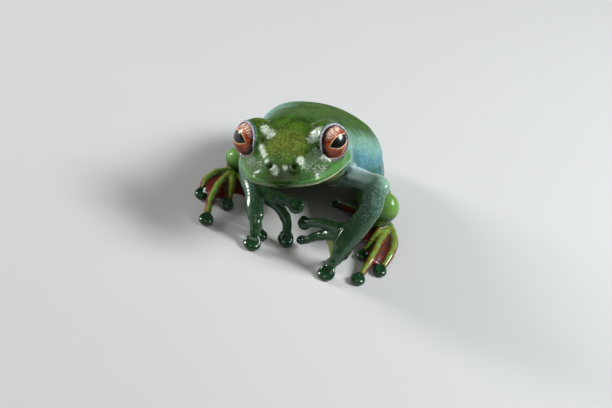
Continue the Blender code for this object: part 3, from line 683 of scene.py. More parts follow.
def to_segment(points, start, end):
    """Distance of each point from a straight line between two points."""
    start, along = np.array(start), np.array(end) - np.array(start)
    t = np.clip((points - start) @ along / (along @ along), 0, 1)
    return np.linalg.norm(points - start - t[:, None] * along, axis=1)


def about_eye(points, side):
    """How far out along an eye's axis each point lies, and how far from that axis."""
    offset = points - np.array(eye_middle(side))
    axis = np.array(eye_axis(side))
    reach = offset @ axis
    return reach, np.linalg.norm(offset - reach[:, None] * axis, axis=1)


def ring_gap(points, side):
    """Distance of each point from the middle line of the eyelid's rim."""
    reach, away = about_eye(points, side)
    return np.hypot(away - LID_RING_RADIUS, reach - LID_RING_OUT)


def shape_head(surface):
    """Mouth, jaw, nostrils, the ridges from eye to nostril, eardrums and the fold over them."""
    # Ridges and hollows from eye to nostril, and the swelling behind each eye
    head = head_place(surface.points)
    ridge = to_segment(one_sided(head), RIDGE_START, RIDGE_END)
    hollow = to_segment(one_sided(head), HOLLOW_START, HOLLOW_END)
    surface.push(0.26 * hill(ridge, 0, 0.72) - 0.26 * hill(hollow, 0, 1.15))
    for side in (1, -1):
        reach, away = about_eye(surface.points, side)
        behind = soft(head[:, 0], 0.8, -0.8) * soft(np.abs(reach - 0.4), 2.2, 1.2)
        surface.push(behind * (0.16 * hill(away, 4.15, 0.42) - 0.10 * hill(away, 3.42, 0.26)))

    # The line of the mouth, with both lips and the jaw set back under them
    head = head_place(surface.points)
    forward, level = head[:, 0], mouth_height(head)
    mouth = soft(forward, JAW_CORNER - 1.2, JAW_CORNER + 0.8) * soft(level, 5, 3) * soft(level, -4, -3)
    jaw = -(0.34 + 0.22 * soft(forward, 2, 8)) * soft(level, 0.02, -0.30) * soft(level, -3.2, -1.6)
    lip = 0.10 * hill(level, 0.42, 0.30)
    groove = -0.20 * hill(level, -0.06, 0.14)
    lower_lip = 0.13 * hill(level, -0.48, 0.20)
    surface.push((jaw + lip + groove + lower_lip) * mouth)

    # Nostrils, eardrums and the folds over these
    head = one_sided(head_place(surface.points))
    forward, side, up = head.T
    to_nostril = distance(head, NOSTRIL)
    surface.push(0.18 * hill(to_nostril, 0.78, 0.32) - 0.55 * hill(to_nostril, 0, 0.38))
    to_drum = distance(head[:, ::2], EARDRUM)
    outer = soft(side, 5.5, 6.5)
    surface.push(outer * (0.07 * hill(to_drum, 1.25, 0.20) - 0.13 * hill(to_drum, 0.95, 0.22)))
    fold_line = np.interp(forward, *EAR_FOLD)
    fold = hill(up, fold_line, 0.42) * soft(forward, -11, -9) * soft(forward, -2.6, -3.6) * outer
    surface.push(0.24 * fold)


def shape_sockets(surface):
    """Presses the skin under each eye back into a cup behind the globe."""
    cup = EYE_RADIUS + SOCKET_GAP
    for side in (1, -1):
        centre = np.array(eye_middle(side))
        axis = np.array(eye_axis(side))
        offset = surface.points - centre
        reach = offset @ axis
        lateral = offset - reach[:, None] * axis
        away = np.linalg.norm(lateral, axis=1)
        inside = (np.linalg.norm(offset, axis=1) < cup) & (reach > -1.0)
        depth = -np.sqrt(np.maximum(cup**2 - away**2, 0))
        surface.points[inside] = (centre + lateral + depth[:, None] * axis)[inside]


def shape_discs(surface):
    """A raised rim and a shallow dimple on the top of each disc."""
    for centre, disc in DISCS:
        offset = surface.points - centre
        away = np.linalg.norm(offset[:, :2], axis=1) / disc
        top = soft(offset[:, 2], 0.05, 0.35) * (np.abs(offset[:, 2]) < 1.2)
        surface.push(top * (0.09 * hill(away, 0.72, 0.20) - 0.10 * hill(away, 0.0, 0.42)))


def wrinkle(surface, rows, row, width, spacing, depth, member):
    """Presses fine grooves across a limb, around one place on its path, and returns where they are."""
    near = np.flatnonzero(member > 0.3)
    place = near_path(surface.points[near], rows)
    wave = 0.5 - 0.5 * np.cos(2 * math.pi * place / spacing)
    amount = np.zeros(surface.count)
    amount[near] = -depth * wave * hill(place, row, width) * member[near]
    surface.push(amount)
    return amount / -depth


def build_skin():
    """The fused skin in millimetres, shaped and with its masks as point attributes."""
    shapes = gather_shapes()
    obj = fuse(shapes)
    surface = Surface(obj.data)
    surface.smooth(2)
    weights = group_weights(surface, shapes)
    fleshy = sum(weights[name] for name in ("body", "shoulder", "arm_left", "arm_right", "thigh", "shank"))
    by_body = surface.spread(fleshy, 12)
    face = surface.spread(weights["brow"] + weights["lid"], 4)
    surface.fill_creases(24, np.clip(0.35 + 0.65 * by_body, 0, 1))
    to_eye = np.minimum(*(distance(surface.points, eye_middle(side)) for side in (1, -1)))
    surface.fill_creases(90, soft(by_body + face, 0.75, 1.0) * soft(to_eye, 3.3, 4.2))
    shape_head(surface)
    shape_discs(surface)
    creases = np.zeros(surface.count)
    for side in ("left", "right"):
        member = weights["arm_" + side]
        creases += wrinkle(surface, ARMS[side], ELBOW_ROW + 0.8, 0.6, 0.24, 0.06, member)
        creases += wrinkle(surface, ARMS[side], WRIST_ROW[side] - 0.1, 0.5, 0.26, 0.04, member)
    shape_sockets(surface)
    surface.points[:, 2] = np.maximum(surface.points[:, 2], 0)
    paint_masks(obj.data, surface, weights, creases)
    obj.data.vertices.foreach_set("co", surface.points.ravel())
    return obj


def patch_mask(head, patches):
    """1 inside the patches, each a stretch between two points of the head, and soft at the rim."""
    mask = np.zeros(len(head))
    for start, end, radius in patches:
        mask = np.maximum(mask, soft(to_segment(head, start, end), radius * 1.5, radius * 0.1))
    return mask


def hollows(surface):
    """How deep in a crease or under an edge each point lies, from 0 to 1."""
    normals = surface.normals()
    total = np.zeros(surface.count)
    smooth = surface.points.copy()
    for times in (3, 9, 24):
        for _ in range(times):
            smooth = surface.around(smooth)
        depth = np.einsum("ij,ij->i", smooth - surface.points, normals)
        total += np.clip(depth / (0.012 * times), 0, 1)
    return np.clip(surface.spread(total / 2, 3), 0, 1)


def face_masks(head, level, in_front):
    """The finishes of the face, from each point's place in the head and height above the lip line."""
    forward, side, up = one_sided(head).T
    # Painted shade in front of the eyes and below the left nostril.
    dark = patch_mask(head, SHADE_PATCHES) * in_front
    band = np.interp(forward, [-4, 2, 6, 9], [1.7, 1.35, 0.9, 0.55])
    canthus = np.interp(forward, [0, 3, 8, 10], [0.6, 0.3, -0.4, -1.5])
    snout = soft(forward, 5.0, 8.0) + soft(up, canthus + 0.3, canthus - 0.9) * soft(forward, -4, 0)
    return {
        "snout": np.clip(snout, 0, 1) * in_front * soft(level, band * 0.9, band * 1.5),
        "tip": soft(forward, 7.2, 9.2) * soft(side, 3.2, 1.2) * soft(level, 0.3, 0.8) * in_front,
        "nostril": soft(distance(one_sided(head), NOSTRIL), 0.42, 0.2),
        "gold": in_front * hill(forward, 4.6, 3.2) * soft(side, 4.2, 2.4) * soft(up, -1.6, -0.4),
        "lip": in_front * soft(level, 0.05, 0.25) * soft(level, band * 1.35, band * 0.8),
        "cream": in_front * soft(level, -0.52, -0.38) * soft(level, 0.0, -0.12) * soft(side, 0.2, 3.2),
        # Pale patches: partly the skin's own pale colour, partly painted highlights.
        "pale": patch_mask(head, PALE_PATCHES) * in_front,
        "cheek": patch_mask(head, CHEEK_PATCHES) * in_front * soft(level, band, band * 1.3) * (1 - dark),
        "dark": dark,
        # Where the lip band gets painted shade, in the middle of the front.
        "chin": soft(side, 3.6, 1.2) * in_front,
    }


def lid_masks(points, head):
    """The lilac rim of the eyelids, with the skin just outside it and the lower lid."""
    to_lid = np.minimum(ring_gap(points, 1), ring_gap(points, -1))
    away = np.where(head[:, 1] > 0, about_eye(points, 1)[1], about_eye(points, -1)[1])
    outward = away - LID_RING_RADIUS
    upper = head[:, 2] + 0.35 * head[:, 0]
    return {
        "lid": soft(np.abs(outward), 0.27, 0.13) * soft(to_lid, 0.37, 0.29) * soft(upper, -0.6, 1.4),
        "lid_edge": soft(to_lid, 0.50, 0.30) * soft(outward, 0.0, 0.30),
        "lid_low": soft(to_lid, 0.55, 0.25) * soft(upper, 1.2, -0.6),
    }


def arm_masks(surface, facing, parts):
    """Arms with their elbows and the painted highlights on their upper sides, hands and finger webs."""
    arms = parts["arm_left"] + parts["arm_right"]
    hand, elbow, upper = np.zeros((3, surface.count))
    for name in ("left", "right"):
        member = np.flatnonzero(parts["arm_" + name] > 0.02)
        place = near_path(surface.points[member], ARMS[name])
        hand[member] = np.maximum(hand[member], soft(place, WRIST_ROW[name] - 1.2, WRIST_ROW[name] + 1.4))
        # Where the elbows get their painted highlight.
        elbow[member] = hill(place, ELBOW_ROW, 0.8)
        upper[member] = soft(place, ELBOW_ROW + 0.2, ELBOW_ROW - 0.7)
    # Painted highlight on the upward faces of the shoulders and upper arms.
    top = np.clip(arms * upper + parts["shoulder"], 0, 1) * soft(facing, 0.05, 0.7)
    return {
        "arm": np.clip(arms + 0.6 * parts["shoulder"], 0, 1),
        "elbow": elbow,
        "arm_top": surface.spread(top, 24),
        "hand": np.clip(hand * arms + parts["finger"] + parts["hand_web"], 0, 1),
        "hand_web": parts["hand_web"],
    }


def leg_masks(points, parts):
    """Legs with their bright knees and bluish thighs, toes and their webs."""
    knees = np.zeros(len(points))
    thighs = np.clip(2 * parts["thigh"], 0, 1)
    for name in ("left", "right"):
        to_knee = distance(points, THIGHS[name][-1][:3])
        knees = np.maximum(knees, soft(to_knee, 9.0, 1.5))
        thighs = np.minimum(thighs, soft(to_knee, 3.0, 12.0))
    return {
        "leg": np.clip(parts["thigh"] + parts["shank"], 0, 1),
        "knee": knees,
        "thigh": thighs,
        "toe": np.clip(parts["toe"] + 0.7 * parts["foot"] + parts["foot_web"], 0, 1),
        "web": np.clip(1.3 * parts["foot_web"], 0, 1),
    }


def paint_masks(mesh, surface, weights, creases):
    """Writes where each finish of the skin lies, as point attributes from 0 to 1."""
    points = surface.points
    head = head_place(points)
    level = mouth_height(head)
    station, angle = body_place(points)
    facing = surface.normals()[:, 2]
    parts = {name: surface.spread(weight, WIDE_BLENDS.get(name, BLEND)) for name, weight in weights.items()}
    trunk = np.clip(parts["body"] + parts["brow"] + parts["lid"], 0, 1)
    in_front = soft(head[:, 0], JAW_CORNER - 1.5, JAW_CORNER + 1.0) * trunk
    discs = np.zeros(surface.count)
    for centre, disc in DISCS:
        discs = np.maximum(discs, soft(distance(points, centre), disc * 1.35, disc * 0.95))
    along = soft(station, 11, 17) * soft(station, 52, 36)
    masks = {
        "back": trunk * soft(angle, 28, 50),
        "flank": trunk * soft(angle, 80, 14) * soft(angle, -62, -25) * along,
        # Where the flank's blue is deepened behind the head as painted shade.
        "neck": trunk * hill(station, 20.0, 2.4) * soft(angle, 24, 2) * soft(angle, -70, -40),
        "blue": trunk * soft(angle, 48, -4) * soft(station, 15, 22) * soft(station, 46, 32),
        "belly": trunk * soft(angle, -12, -45) * soft(level, -0.5, -1.8),
        "brow": parts["brow"] * (1 - np.clip(2 * parts["lid"], 0, 1)),
        "disc": discs * np.clip(parts["toe"] + parts["finger"] + parts["foot_web"], 0, 1),
        # hollow: where creases and hollows get painted shade
        "hollow": hollows(surface),
        "crease": np.clip(creases, 0, 1),
        "up": np.clip(facing * 0.5 + 0.5, 0, 1),
        **face_masks(head, level, in_front),
        **lid_masks(points, head),
        **arm_masks(surface, facing, parts),
        **leg_masks(points, parts),
    }
    for name, values in masks.items():
        attribute = mesh.attributes.new(name, "FLOAT", "POINT")
        attribute.data.foreach_set("value", values.astype(np.float32))


class Value:
    """A node's output that takes part in sums, each operator being a Math node."""

    def __init__(self, nodes, socket):
        self.nodes, self.socket = nodes, socket

    def math(self, operation, first, second=0.0):
        return self.nodes.node("ShaderNodeMath", {"operation": operation}, {0: first, 1: second})

    def __add__(self, other):
        return self.math("ADD", self, other)

    def __sub__(self, other):
        return self.math("SUBTRACT", self, other)

    def __rsub__(self, other):
        return self.math("SUBTRACT", other, self)

    def __mul__(self, other):
        return self.math("MULTIPLY", self, other)

    def __truediv__(self, other):
        return self.math("DIVIDE", self, other)

    def __rtruediv__(self, other):
        return self.math("DIVIDE", other, self)

    def __pow__(self, other):
        return self.math("POWER", self, other)

    def __abs__(self):
        return self.math("ABSOLUTE", self)

    __radd__ = __add__
    __rmul__ = __mul__

    def step(self, start, end):
        """A smooth step from 0 at start to 1 at end."""
        return self.nodes.node("ShaderNodeMapRange", {"interpolation_type": "SMOOTHSTEP"},
                               {"Value": self, "From Min": start, "From Max": end})

    def swing(self, amount):
        """A noise as a swing to both sides of 0."""
        return (self - 0.5) * amount

    def output(self, name):
        """Another output of the same node."""
        return Value(self.nodes, self.socket.node.outputs[name])


class Nodes:
    """A node tree in the making."""

    def __init__(self, tree):
        self.tree = tree

    def node(self, kind, settings, inputs, output=0):
        """Adds a node, sets its settings and then its sockets, and returns one of its outputs."""
        node = self.tree.nodes.new(kind)
        for key, value in settings.items():
            setattr(node, key, value)
        for key, value in inputs.items():
            if isinstance(value, Value):
                self.tree.links.new(value.socket, node.inputs[key])
            else:
                node.inputs[key].default_value = value
        return Value(self, node.outputs[output]) if len(node.outputs) else None


class Finish(Nodes):
    """A material made of nodes, around one Principled shader."""

    def __init__(self, name):
        self.material = bpy.data.materials.new(name)
        self.material.use_nodes = True
        self.material.node_tree.nodes.clear()
        super().__init__(self.material.node_tree)

    def place(self):
        """Each point's place in the object."""
        return self.node("ShaderNodeTexCoord", {}, {}, "Object")

    def mask(self, name):
        return self.node("ShaderNodeAttribute", {"attribute_name": name}, {}, "Fac")

    def mix(self, factor, first, second):
        """Second over first where the factor is 1."""
        return self.node("ShaderNodeMix", {"data_type": "RGBA"}, {0: factor, 6: first, 7: second}, 2)

    def noise(self, place, scale, detail=2.0, roughness=0.5, distortion=0.0):
        return self.node("ShaderNodeTexNoise", {}, {
            "Vector": place, "Scale": scale, "Detail": detail, "Roughness": roughness,
            "Distortion": distortion}, "Fac")

    def shader(self, sockets):
        """The Principled shader, linked to the output."""
        surface = self.node("ShaderNodeBsdfPrincipled", {}, sockets)
        self.node("ShaderNodeOutputMaterial", {}, {"Surface": surface})
        return self.material


def rgb(red, green, blue):
    return (red, green, blue, 1.0)


LEAF = rgb(0.042, 0.125, 0.007)
DARK_LEAF = rgb(0.012, 0.042, 0.003)
OLIVE = rgb(0.135, 0.185, 0.028)
GOLD = rgb(0.20, 0.22, 0.035)
MOSS = rgb(0.045, 0.075, 0.022)
ASH = rgb(0.36, 0.46, 0.35)
LIP_GREEN = rgb(0.075, 0.22, 0.055)
CREAM = rgb(0.46, 0.54, 0.30)
TIP_BROWN_AND_SHADE = rgb(0.050, 0.055, 0.028)
SHADE = rgb(0.012, 0.025, 0.010)
GRANULE = rgb(0.20, 0.26, 0.18)
SKY = rgb(0.095, 0.27, 0.33)
MINT = rgb(0.23, 0.42, 0.34)
ICE = rgb(0.66, 0.82, 0.86)
PALE_MINT = rgb(0.34, 0.60, 0.44)
WHITE_GREEN = rgb(0.62, 0.70, 0.56)
BLUE_SHADE = rgb(0.016, 0.085, 0.115)
TEAL = rgb(0.028, 0.105, 0.088)
ARM_GREEN = rgb(0.030, 0.075, 0.030)
PALE_TEAL = rgb(0.17, 0.36, 0.30)
THROAT = rgb(0.26, 0.31, 0.16)
LILAC = rgb(0.68, 0.62, 0.80)
LID_GREY = rgb(0.30, 0.19, 0.20)
HAND_GREEN = rgb(0.013, 0.060, 0.022)
DISC_GREEN = rgb(0.004, 0.036, 0.009)
LEG_GREEN = rgb(0.035, 0.13, 0.020)
KNEE_GREEN = rgb(0.17, 0.36, 0.070)
TOE_OLIVE = rgb(0.20, 0.23, 0.025)
WEB_RED = rgb(0.15, 0.008, 0.004)
WEB_DARK = rgb(0.055, 0.006, 0.004)
WEB_YELLOW = rgb(0.32, 0.36, 0.08)
IRIS_ORANGE = rgb(0.58, 0.085, 0.008)
IRIS_DARK = rgb(0.14, 0.011, 0.003)
IRIS_GOLD = rgb(0.98, 0.74, 0.58)
LID_SHADOW = rgb(0.025, 0.008, 0.006)
PUPIL_RIM = rgb(0.90, 0.62, 0.30)
PUPIL = rgb(0.002, 0.002, 0.003)


def trunk_color(f, m, n):
    """Leaf green above, olive and gold on the crown, blue and mint along the flanks, pale underneath. The
    mint of the upper flank is partly its own colour and partly a painted highlight, and the blue behind the
    head is deepened as painted shade.
    """
    color = f.mix(n.patches.step(0.38, 0.62), LEAF, DARK_LEAF)
    olive = m.back * n.mottle.step(0.46, 0.60) * (0.25 + 0.4 * m.gold + 0.25 * m.brow)
    color = f.mix(olive, color, OLIVE)
    color = f.mix(m.back * n.specks.step(0.54, 0.66) * 0.45, color, DARK_LEAF)
    color = f.mix(m.brow * n.mottle.step(0.45, 0.62) * 0.35, color, OLIVE)
    color = f.mix(m.gold * n.mottle.step(0.30, 0.62) * 0.75, color, GOLD)
    # Upper flank mint: partly its own colour, partly a painted highlight; lower flank sky blue.
    flank = f.mix((m.blue + n.patches.swing(0.9) + n.wide.swing(0.8)).step(0.05, 1.05), MINT, SKY)
    flank = f.mix(n.blotches.step(0.44, 0.60) * 0.45, flank, TEAL)
    flank = f.mix(n.specks.step(0.56, 0.66) * 0.20, flank, ICE)
    flank = f.mix(n.mottle.step(0.55, 0.66) * (1.0 - m.blue) * 0.6, flank, OLIVE)
    edge = n.patches.swing(0.8) + n.blotches.swing(0.7) + n.wide.swing(0.9)
    color = f.mix((m.flank + edge).step(0.10, 1.05), color, flank)
    # Painted shade: the flank's blue deepened behind the head.
    color = f.mix(m.neck * (0.5 + 0.5 * n.blotches), color, BLUE_SHADE)
    return f.mix(m.belly, color, THROAT)


def face_color(f, m, n, color):
    """Mottled snout, netted cheeks, pale patches that are partly the skin's own and partly painted
    highlights, dark patches of painted shade, and the lips with their cream line; the snout tip and the
    middle of the lip band are darkened as painted shade.
    """
    snout = m.snout * (0.25 + 0.9 * n.patches.step(0.34, 0.60))
    color = f.mix(snout.step(0.1, 1.1) * 0.75, color, f.mix(n.mottle.step(0.40, 0.60), MOSS, LIP_GREEN))
    # The snout tip: its own grey-brown, darkened as painted shade.
    color = f.mix(m.tip * (0.4 + 0.6 * n.mottle.step(0.4, 0.6)), color, TIP_BROWN_AND_SHADE)
    # Painted shade: dark patches in front of the eyes and below the left nostril.
    color = f.mix(m.dark * (0.75 + 0.25 * n.blotches.step(0.40, 0.60)), color, DARK_LEAF)
    cheek = (m.cheek + n.patches.swing(0.8) + n.mottle.swing(0.8)).step(0.15, 0.95)
    color = f.mix(cheek * 0.85, color, f.mix(n.grains.step(0.30, 0.55), ASH, MOSS))
    # Pale patches: partly the skin's own pale colour, partly painted highlights.
    spots = n.mottle.swing(1.6) + n.specks.swing(1.0) + n.blotches.swing(0.8)
    pale = (m.pale - 0.30 + spots).step(-0.1, 0.75) * m.pale.step(0.0, 0.5)
    color = f.mix(pale * 0.95, color, WHITE_GREEN)
    # Painted shade: the lip band darker in the middle of the front.
    lip = f.mix(m.chin, LIP_GREEN, DARK_LEAF)
    lip = f.mix(n.mottle.step(0.50, 0.64) * 0.7, lip, LEAF)
    color = f.mix((m.lip + n.mottle.swing(0.9) + n.patches.swing(0.6)).step(0.10, 0.95), color, lip)
    color = f.mix(m.lip * n.patches.step(0.66, 0.72), color, SHADE)
    return f.mix(m.cream, color, CREAM)


def arm_color(f, m, n):
    """Teal and green arms, with painted highlights on their upward faces, on the tops of the shoulders and
    upper arms, and on the elbows.
    """
    color = f.mix(n.blotches.step(0.38, 0.62), TEAL, ARM_GREEN)
    # Painted highlight: paler teal on the upward faces.
    color = f.mix(m.up.step(0.50, 0.95) * 0.22, color, PALE_TEAL)
    # Painted highlight: pale ice blue over the tops of the shoulders and upper arms.
    color = f.mix((m.arm_top + n.mottle.swing(0.5)).step(0.0, 0.7) * 0.95, color, ICE)
    # Painted highlight on the elbows, strongest on their upward faces.
    color = f.mix(m.elbow * (0.3 + 0.7 * n.mottle) * (0.5 + 0.5 * m.up), color, PALE_MINT)
    color = f.mix(n.specks.step(0.55, 0.64) * (0.40 - 0.25 * m.arm_top), color, OLIVE)
    # Pale specks: a pattern, made stronger on upward faces as painted highlight.
    color = f.mix((1.0 - n.specks).step(0.54, 0.66) * (0.12 + 0.3 * m.up), color, ICE)
    return f.mix(n.mottle.step(0.53, 0.64) * (0.50 - 0.35 * m.arm_top), color, SHADE)


def leg_color(f, m, n):
    """Green legs, bright at the knee, darker underneath as painted shade, and bluish on the thigh."""
    color = f.mix(n.blotches.step(0.38, 0.62), HAND_GREEN, LEG_GREEN)
    color = f.mix(m.knee * (0.45 + 0.8 * n.mottle), color, KNEE_GREEN)
    color = f.mix(n.specks.step(0.54, 0.64) * 0.40, color, OLIVE)
    # Painted shade: darker on the downward faces.
    color = f.mix(m.up.step(0.66, 0.25) * 0.85, color, DARK_LEAF)
    thigh = (m.thigh + n.wide.swing(0.8) + n.patches.swing(0.8)).step(0.2, 1.0)
    color = f.mix(thigh * 0.75, color, f.mix(n.blotches.step(0.35, 0.65), TEAL, SKY))
    return f.mix(n.mottle.step(0.54, 0.66) * 0.45, color, DARK_LEAF)


def hand_color(f, m, n):
    """Dark green hands, olive on top."""
    color = f.mix(n.blotches.step(0.42, 0.68), HAND_GREEN, ARM_GREEN)
    color = f.mix(n.patches.step(0.52, 0.68) * m.up.step(0.5, 0.9) * 0.5, color, OLIVE)
    return f.mix(n.mottle.step(0.56, 0.68) * 0.4, color, DISC_GREEN)


def toe_color(f, m, n):
    """Toes green and olive on top, and red along their sides."""
    top = f.mix(n.patches.step(0.46, 0.60), TOE_OLIVE, KNEE_GREEN)
    return f.mix((m.up + n.blotches.swing(0.5)).step(0.97, 0.74), top, WEB_RED)


def skin_finish():
    """Wet skin: green above, blue along the flanks and arms, red between the toes."""
    f = Finish("frog_skin")
    place = f.place()
    m = SimpleNamespace(**{name: f.mask(name) for name in SKIN_MASKS})
    n = SimpleNamespace(
        wide=f.noise(place, 260, 2, 0.5), patches=f.noise(place, 650, 3, 0.6),
        blotches=f.noise(place, 1500, 3, 0.6, 0.4), mottle=f.noise(place, 2800, 3, 0.65),
        specks=f.noise(place, 4200, 2, 0.6),
        grains=f.node("ShaderNodeTexVoronoi", {"feature": "SMOOTH_F1"},
                      {"Vector": place, "Scale": 3600, "Smoothness": 0.5}, "Distance"))
    color = face_color(f, m, n, trunk_color(f, m, n))
    color = f.mix(m.arm, color, arm_color(f, m, n))
    color = f.mix(m.leg * 0.95, color, leg_color(f, m, n))
    color = f.mix(m.hand, color, hand_color(f, m, n))
    color = f.mix(m.hand_web * 0.6, color, WEB_YELLOW)
    color = f.mix(m.toe, color, toe_color(f, m, n))
    color = f.mix(m.web.step(0.12, 0.55), color, f.mix(n.blotches.step(0.42, 0.62), WEB_RED, WEB_DARK))
    color = f.mix(m.disc, color, f.mix(n.patches.step(0.40, 0.65), DISC_GREEN, HAND_GREEN))
    # Painted shade in the grooves of the wrinkles.
    color = f.mix(m.crease * 0.45, color, DARK_LEAF)
    # Painted shade in creases and hollows: near black, deep blue on the flanks and thighs.
    color = f.mix(m.hollow * 0.75, color, f.mix(m.flank + m.thigh, SHADE, BLUE_SHADE))
    # Painted shade: the nostril openings near black.
    color = f.mix(m.nostril, color, SHADE)
    color = f.mix(m.lid_low * 0.8, color, LID_GREY)
    color = f.mix(m.lid * 0.95, color, f.mix(n.mottle.step(0.45, 0.65) * 0.5, LILAC, LID_GREY))
    color = f.mix(m.lid_edge * 0.6, color, f.mix(n.specks.step(0.45, 0.60), SHADE, MINT))

    peaks = (0.55 - n.grains).step(0.0, 0.4)
    grain_amount = 0.25 + 0.45 * m.snout + 0.45 * m.back + 0.5 * m.belly
    height = peaks * grain_amount * 0.6 + n.blotches * 0.25 + n.specks * 0.18
    bump = f.node("ShaderNodeBump", {}, {"Strength": 0.6, "Distance": 0.12 * MM, "Height": height})
    dry = ((m.back + m.flank).step(0.0, 0.8) - m.brow - m.pale - 0.5 * m.snout
           + m.dark + 0.8 * m.cheek).step(0.0, 1.0)
    wet = (m.disc + m.hand + 0.8 * m.toe + 0.3 * m.arm).step(0.0, 1.2)
    return f.shader({
        "Base Color": color, "Roughness": 0.40 + 0.12 * n.specks - 0.14 * m.disc + 0.16 * dry,
        "Coat Weight": 0.44 + 0.56 * wet - 0.40 * dry, "Coat Roughness": 0.13, "Coat IOR": 1.5,
        "Specular IOR Level": 0.08, "Subsurface Weight": 0.08, "Subsurface Radius": (1.0, 0.9, 0.5),
        "Subsurface Scale": 0.5 * MM, "Normal": bump})


def granule_finish():
    """Pale glossy granules, a few of them green."""
    f = Finish("frog_granules")
    tint = f.noise(f.place(), 2200, 2).step(0.42, 0.60)
    return f.shader({"Base Color": f.mix(tint, GRANULE, LEAF), "Roughness": 0.24 + 0.1 * tint,
                     "Coat Weight": 0.6, "Coat Roughness": 0.12})


def eye_finish():
    """Orange iris round a level almond pupil, from each point's place in the eye. The paler top of the iris
    is partly its own gold and partly painted light, and a dark band at the rim of the globe is the lid's
    painted shadow.
    """
    f = Finish("frog_eye")
    gaze = f.node("ShaderNodeAttribute", {"attribute_name": "gaze"}, {}, "Vector")
    ahead = f.node("ShaderNodeSeparateXYZ", {}, {"Vector": gaze}, "X")
    high = ahead.output("Y")
    away = (ahead * ahead + high * high) ** 0.5
    ray = f.node("ShaderNodeCombineXYZ", {}, {"X": ahead / away, "Y": high / away, "Z": away * 0.22})
    streaks = f.noise(ray, 5.5, 3, 0.65, 0.3)
    flecks = f.noise(gaze, 2.4, 3, 0.6)
    color = f.mix(streaks.step(0.38, 0.62), IRIS_ORANGE, IRIS_DARK)
    # The paler top of the iris: partly its own gold, partly painted light.
    pale = (high + flecks.swing(1.6)).step(0.9, 1.9)
    color = f.mix(pale * (0.25 + 0.75 * streaks.step(0.60, 0.38)), color, IRIS_GOLD)
    color = f.mix((high + flecks.swing(0.8)).step(-0.6, -1.9) * 0.7, color, IRIS_DARK)
    # Painted shadow of the lid: a dark band round the rim of the globe, wider at the front and top.
    color = f.mix((away + 0.12 * ahead + 0.1 * high).step(2.35, 2.75), color, LID_SHADOW)
    along = ahead / PUPIL_HALF
    outside = abs(high) - PUPIL_HIGH * (1 - along * along * (0.75 + 0.25 * along))
    color = f.mix(outside.step(0.20, 0.10), color, PUPIL_RIM)
    color = f.mix(outside.step(0.05, -0.01), color, PUPIL)
    return f.shader({"Base Color": color, "Roughness": 0.35, "Specular IOR Level": 0.2,
                     "Coat Weight": 1.0, "Coat Roughness": 0.06, "Coat IOR": 1.37})


def add_eye(name, side, material):
    """A globe with a slightly raised cornea, and each point's place in it as an attribute."""
    centre, axis = eye_middle(side), eye_axis(side)
    tilts = np.linspace(0.012, math.pi - 0.03, 72)
    radii = EYE_RADIUS + CORNEA_RISE * soft(tilts, 1.0, 0.35)
    shapes = Shapes()
    shapes.loft("eye", ball_rings(centre, axis, tilts, radii, sides=96))
    obj = new_object(name, shapes.points, shapes.faces)
    ahead = (HEAD_FORWARD - axis * HEAD_FORWARD.dot(axis)).normalized()
    above = ahead.cross(axis) * (1 if ahead.cross(axis).dot(HEAD_UP) > 0 else -1)
    offset = np.array(shapes.points) - np.array(centre)
    gaze = offset @ np.array((ahead, above, axis)).T - np.array((0, PUPIL_RISE[side], 0))
    attribute = obj.data.attributes.new("gaze", "FLOAT_VECTOR", "POINT")
    attribute.data.foreach_set("vector", gaze.astype(np.float32).ravel())
    obj.data.materials.append(material)
    return obj


def granule_tree():
    """Small domes scattered over a surface where its mask says, each lying flat on it."""
    tree = bpy.data.node_groups.new("skin_granules", "GeometryNodeTree")
    for name, kind in (("Geometry", "Geometry"), ("Spacing", "Float"), ("Radius", "Float"),
                       ("Density", "Float"), ("Seed", "Int"), ("Finish", "Material")):
        tree.interface.new_socket(name, in_out="INPUT", socket_type="NodeSocket" + kind)
    tree.interface.new_socket("Geometry", in_out="OUTPUT", socket_type="NodeSocketGeometry")
    node = Nodes(tree).node
    given = node("NodeGroupInput", {}, {})
    seed = given.output("Seed")
    where = node("GeometryNodeInputNamedAttribute", {"data_type": "FLOAT"},
                 {"Name": "granular"}, "Attribute")
    places = node("GeometryNodeDistributePointsOnFaces", {"distribute_method": "POISSON"}, {
        "Mesh": given, "Distance Min": given.output("Spacing"), "Density Max": given.output("Density"),
        "Density Factor": where, "Seed": seed}, "Points")
    dome = node("GeometryNodeMeshIcoSphere", {},
                {"Radius": given.output("Radius"), "Subdivisions": 2}, "Mesh")
    size = node("FunctionNodeRandomValue", {"data_type": "FLOAT"}, {2: 0.55, 3: 1.15, "Seed": seed}, 1)
    flat = node("ShaderNodeCombineXYZ", {}, {"X": size, "Y": size, "Z": size * 0.55})
    copies = node("GeometryNodeInstanceOnPoints", {}, {
        "Points": places, "Instance": dome, "Rotation": places.output("Rotation"), "Scale": flat})
    real = node("GeometryNodeRealizeInstances", {}, {"Geometry": copies})
    smooth = node("GeometryNodeSetShadeSmooth", {}, {"Geometry": real})
    done = node("GeometryNodeSetMaterial", {}, {"Geometry": smooth, "Material": given.output("Finish")})
    node("NodeGroupOutput", {}, {"Geometry": done})
    return tree


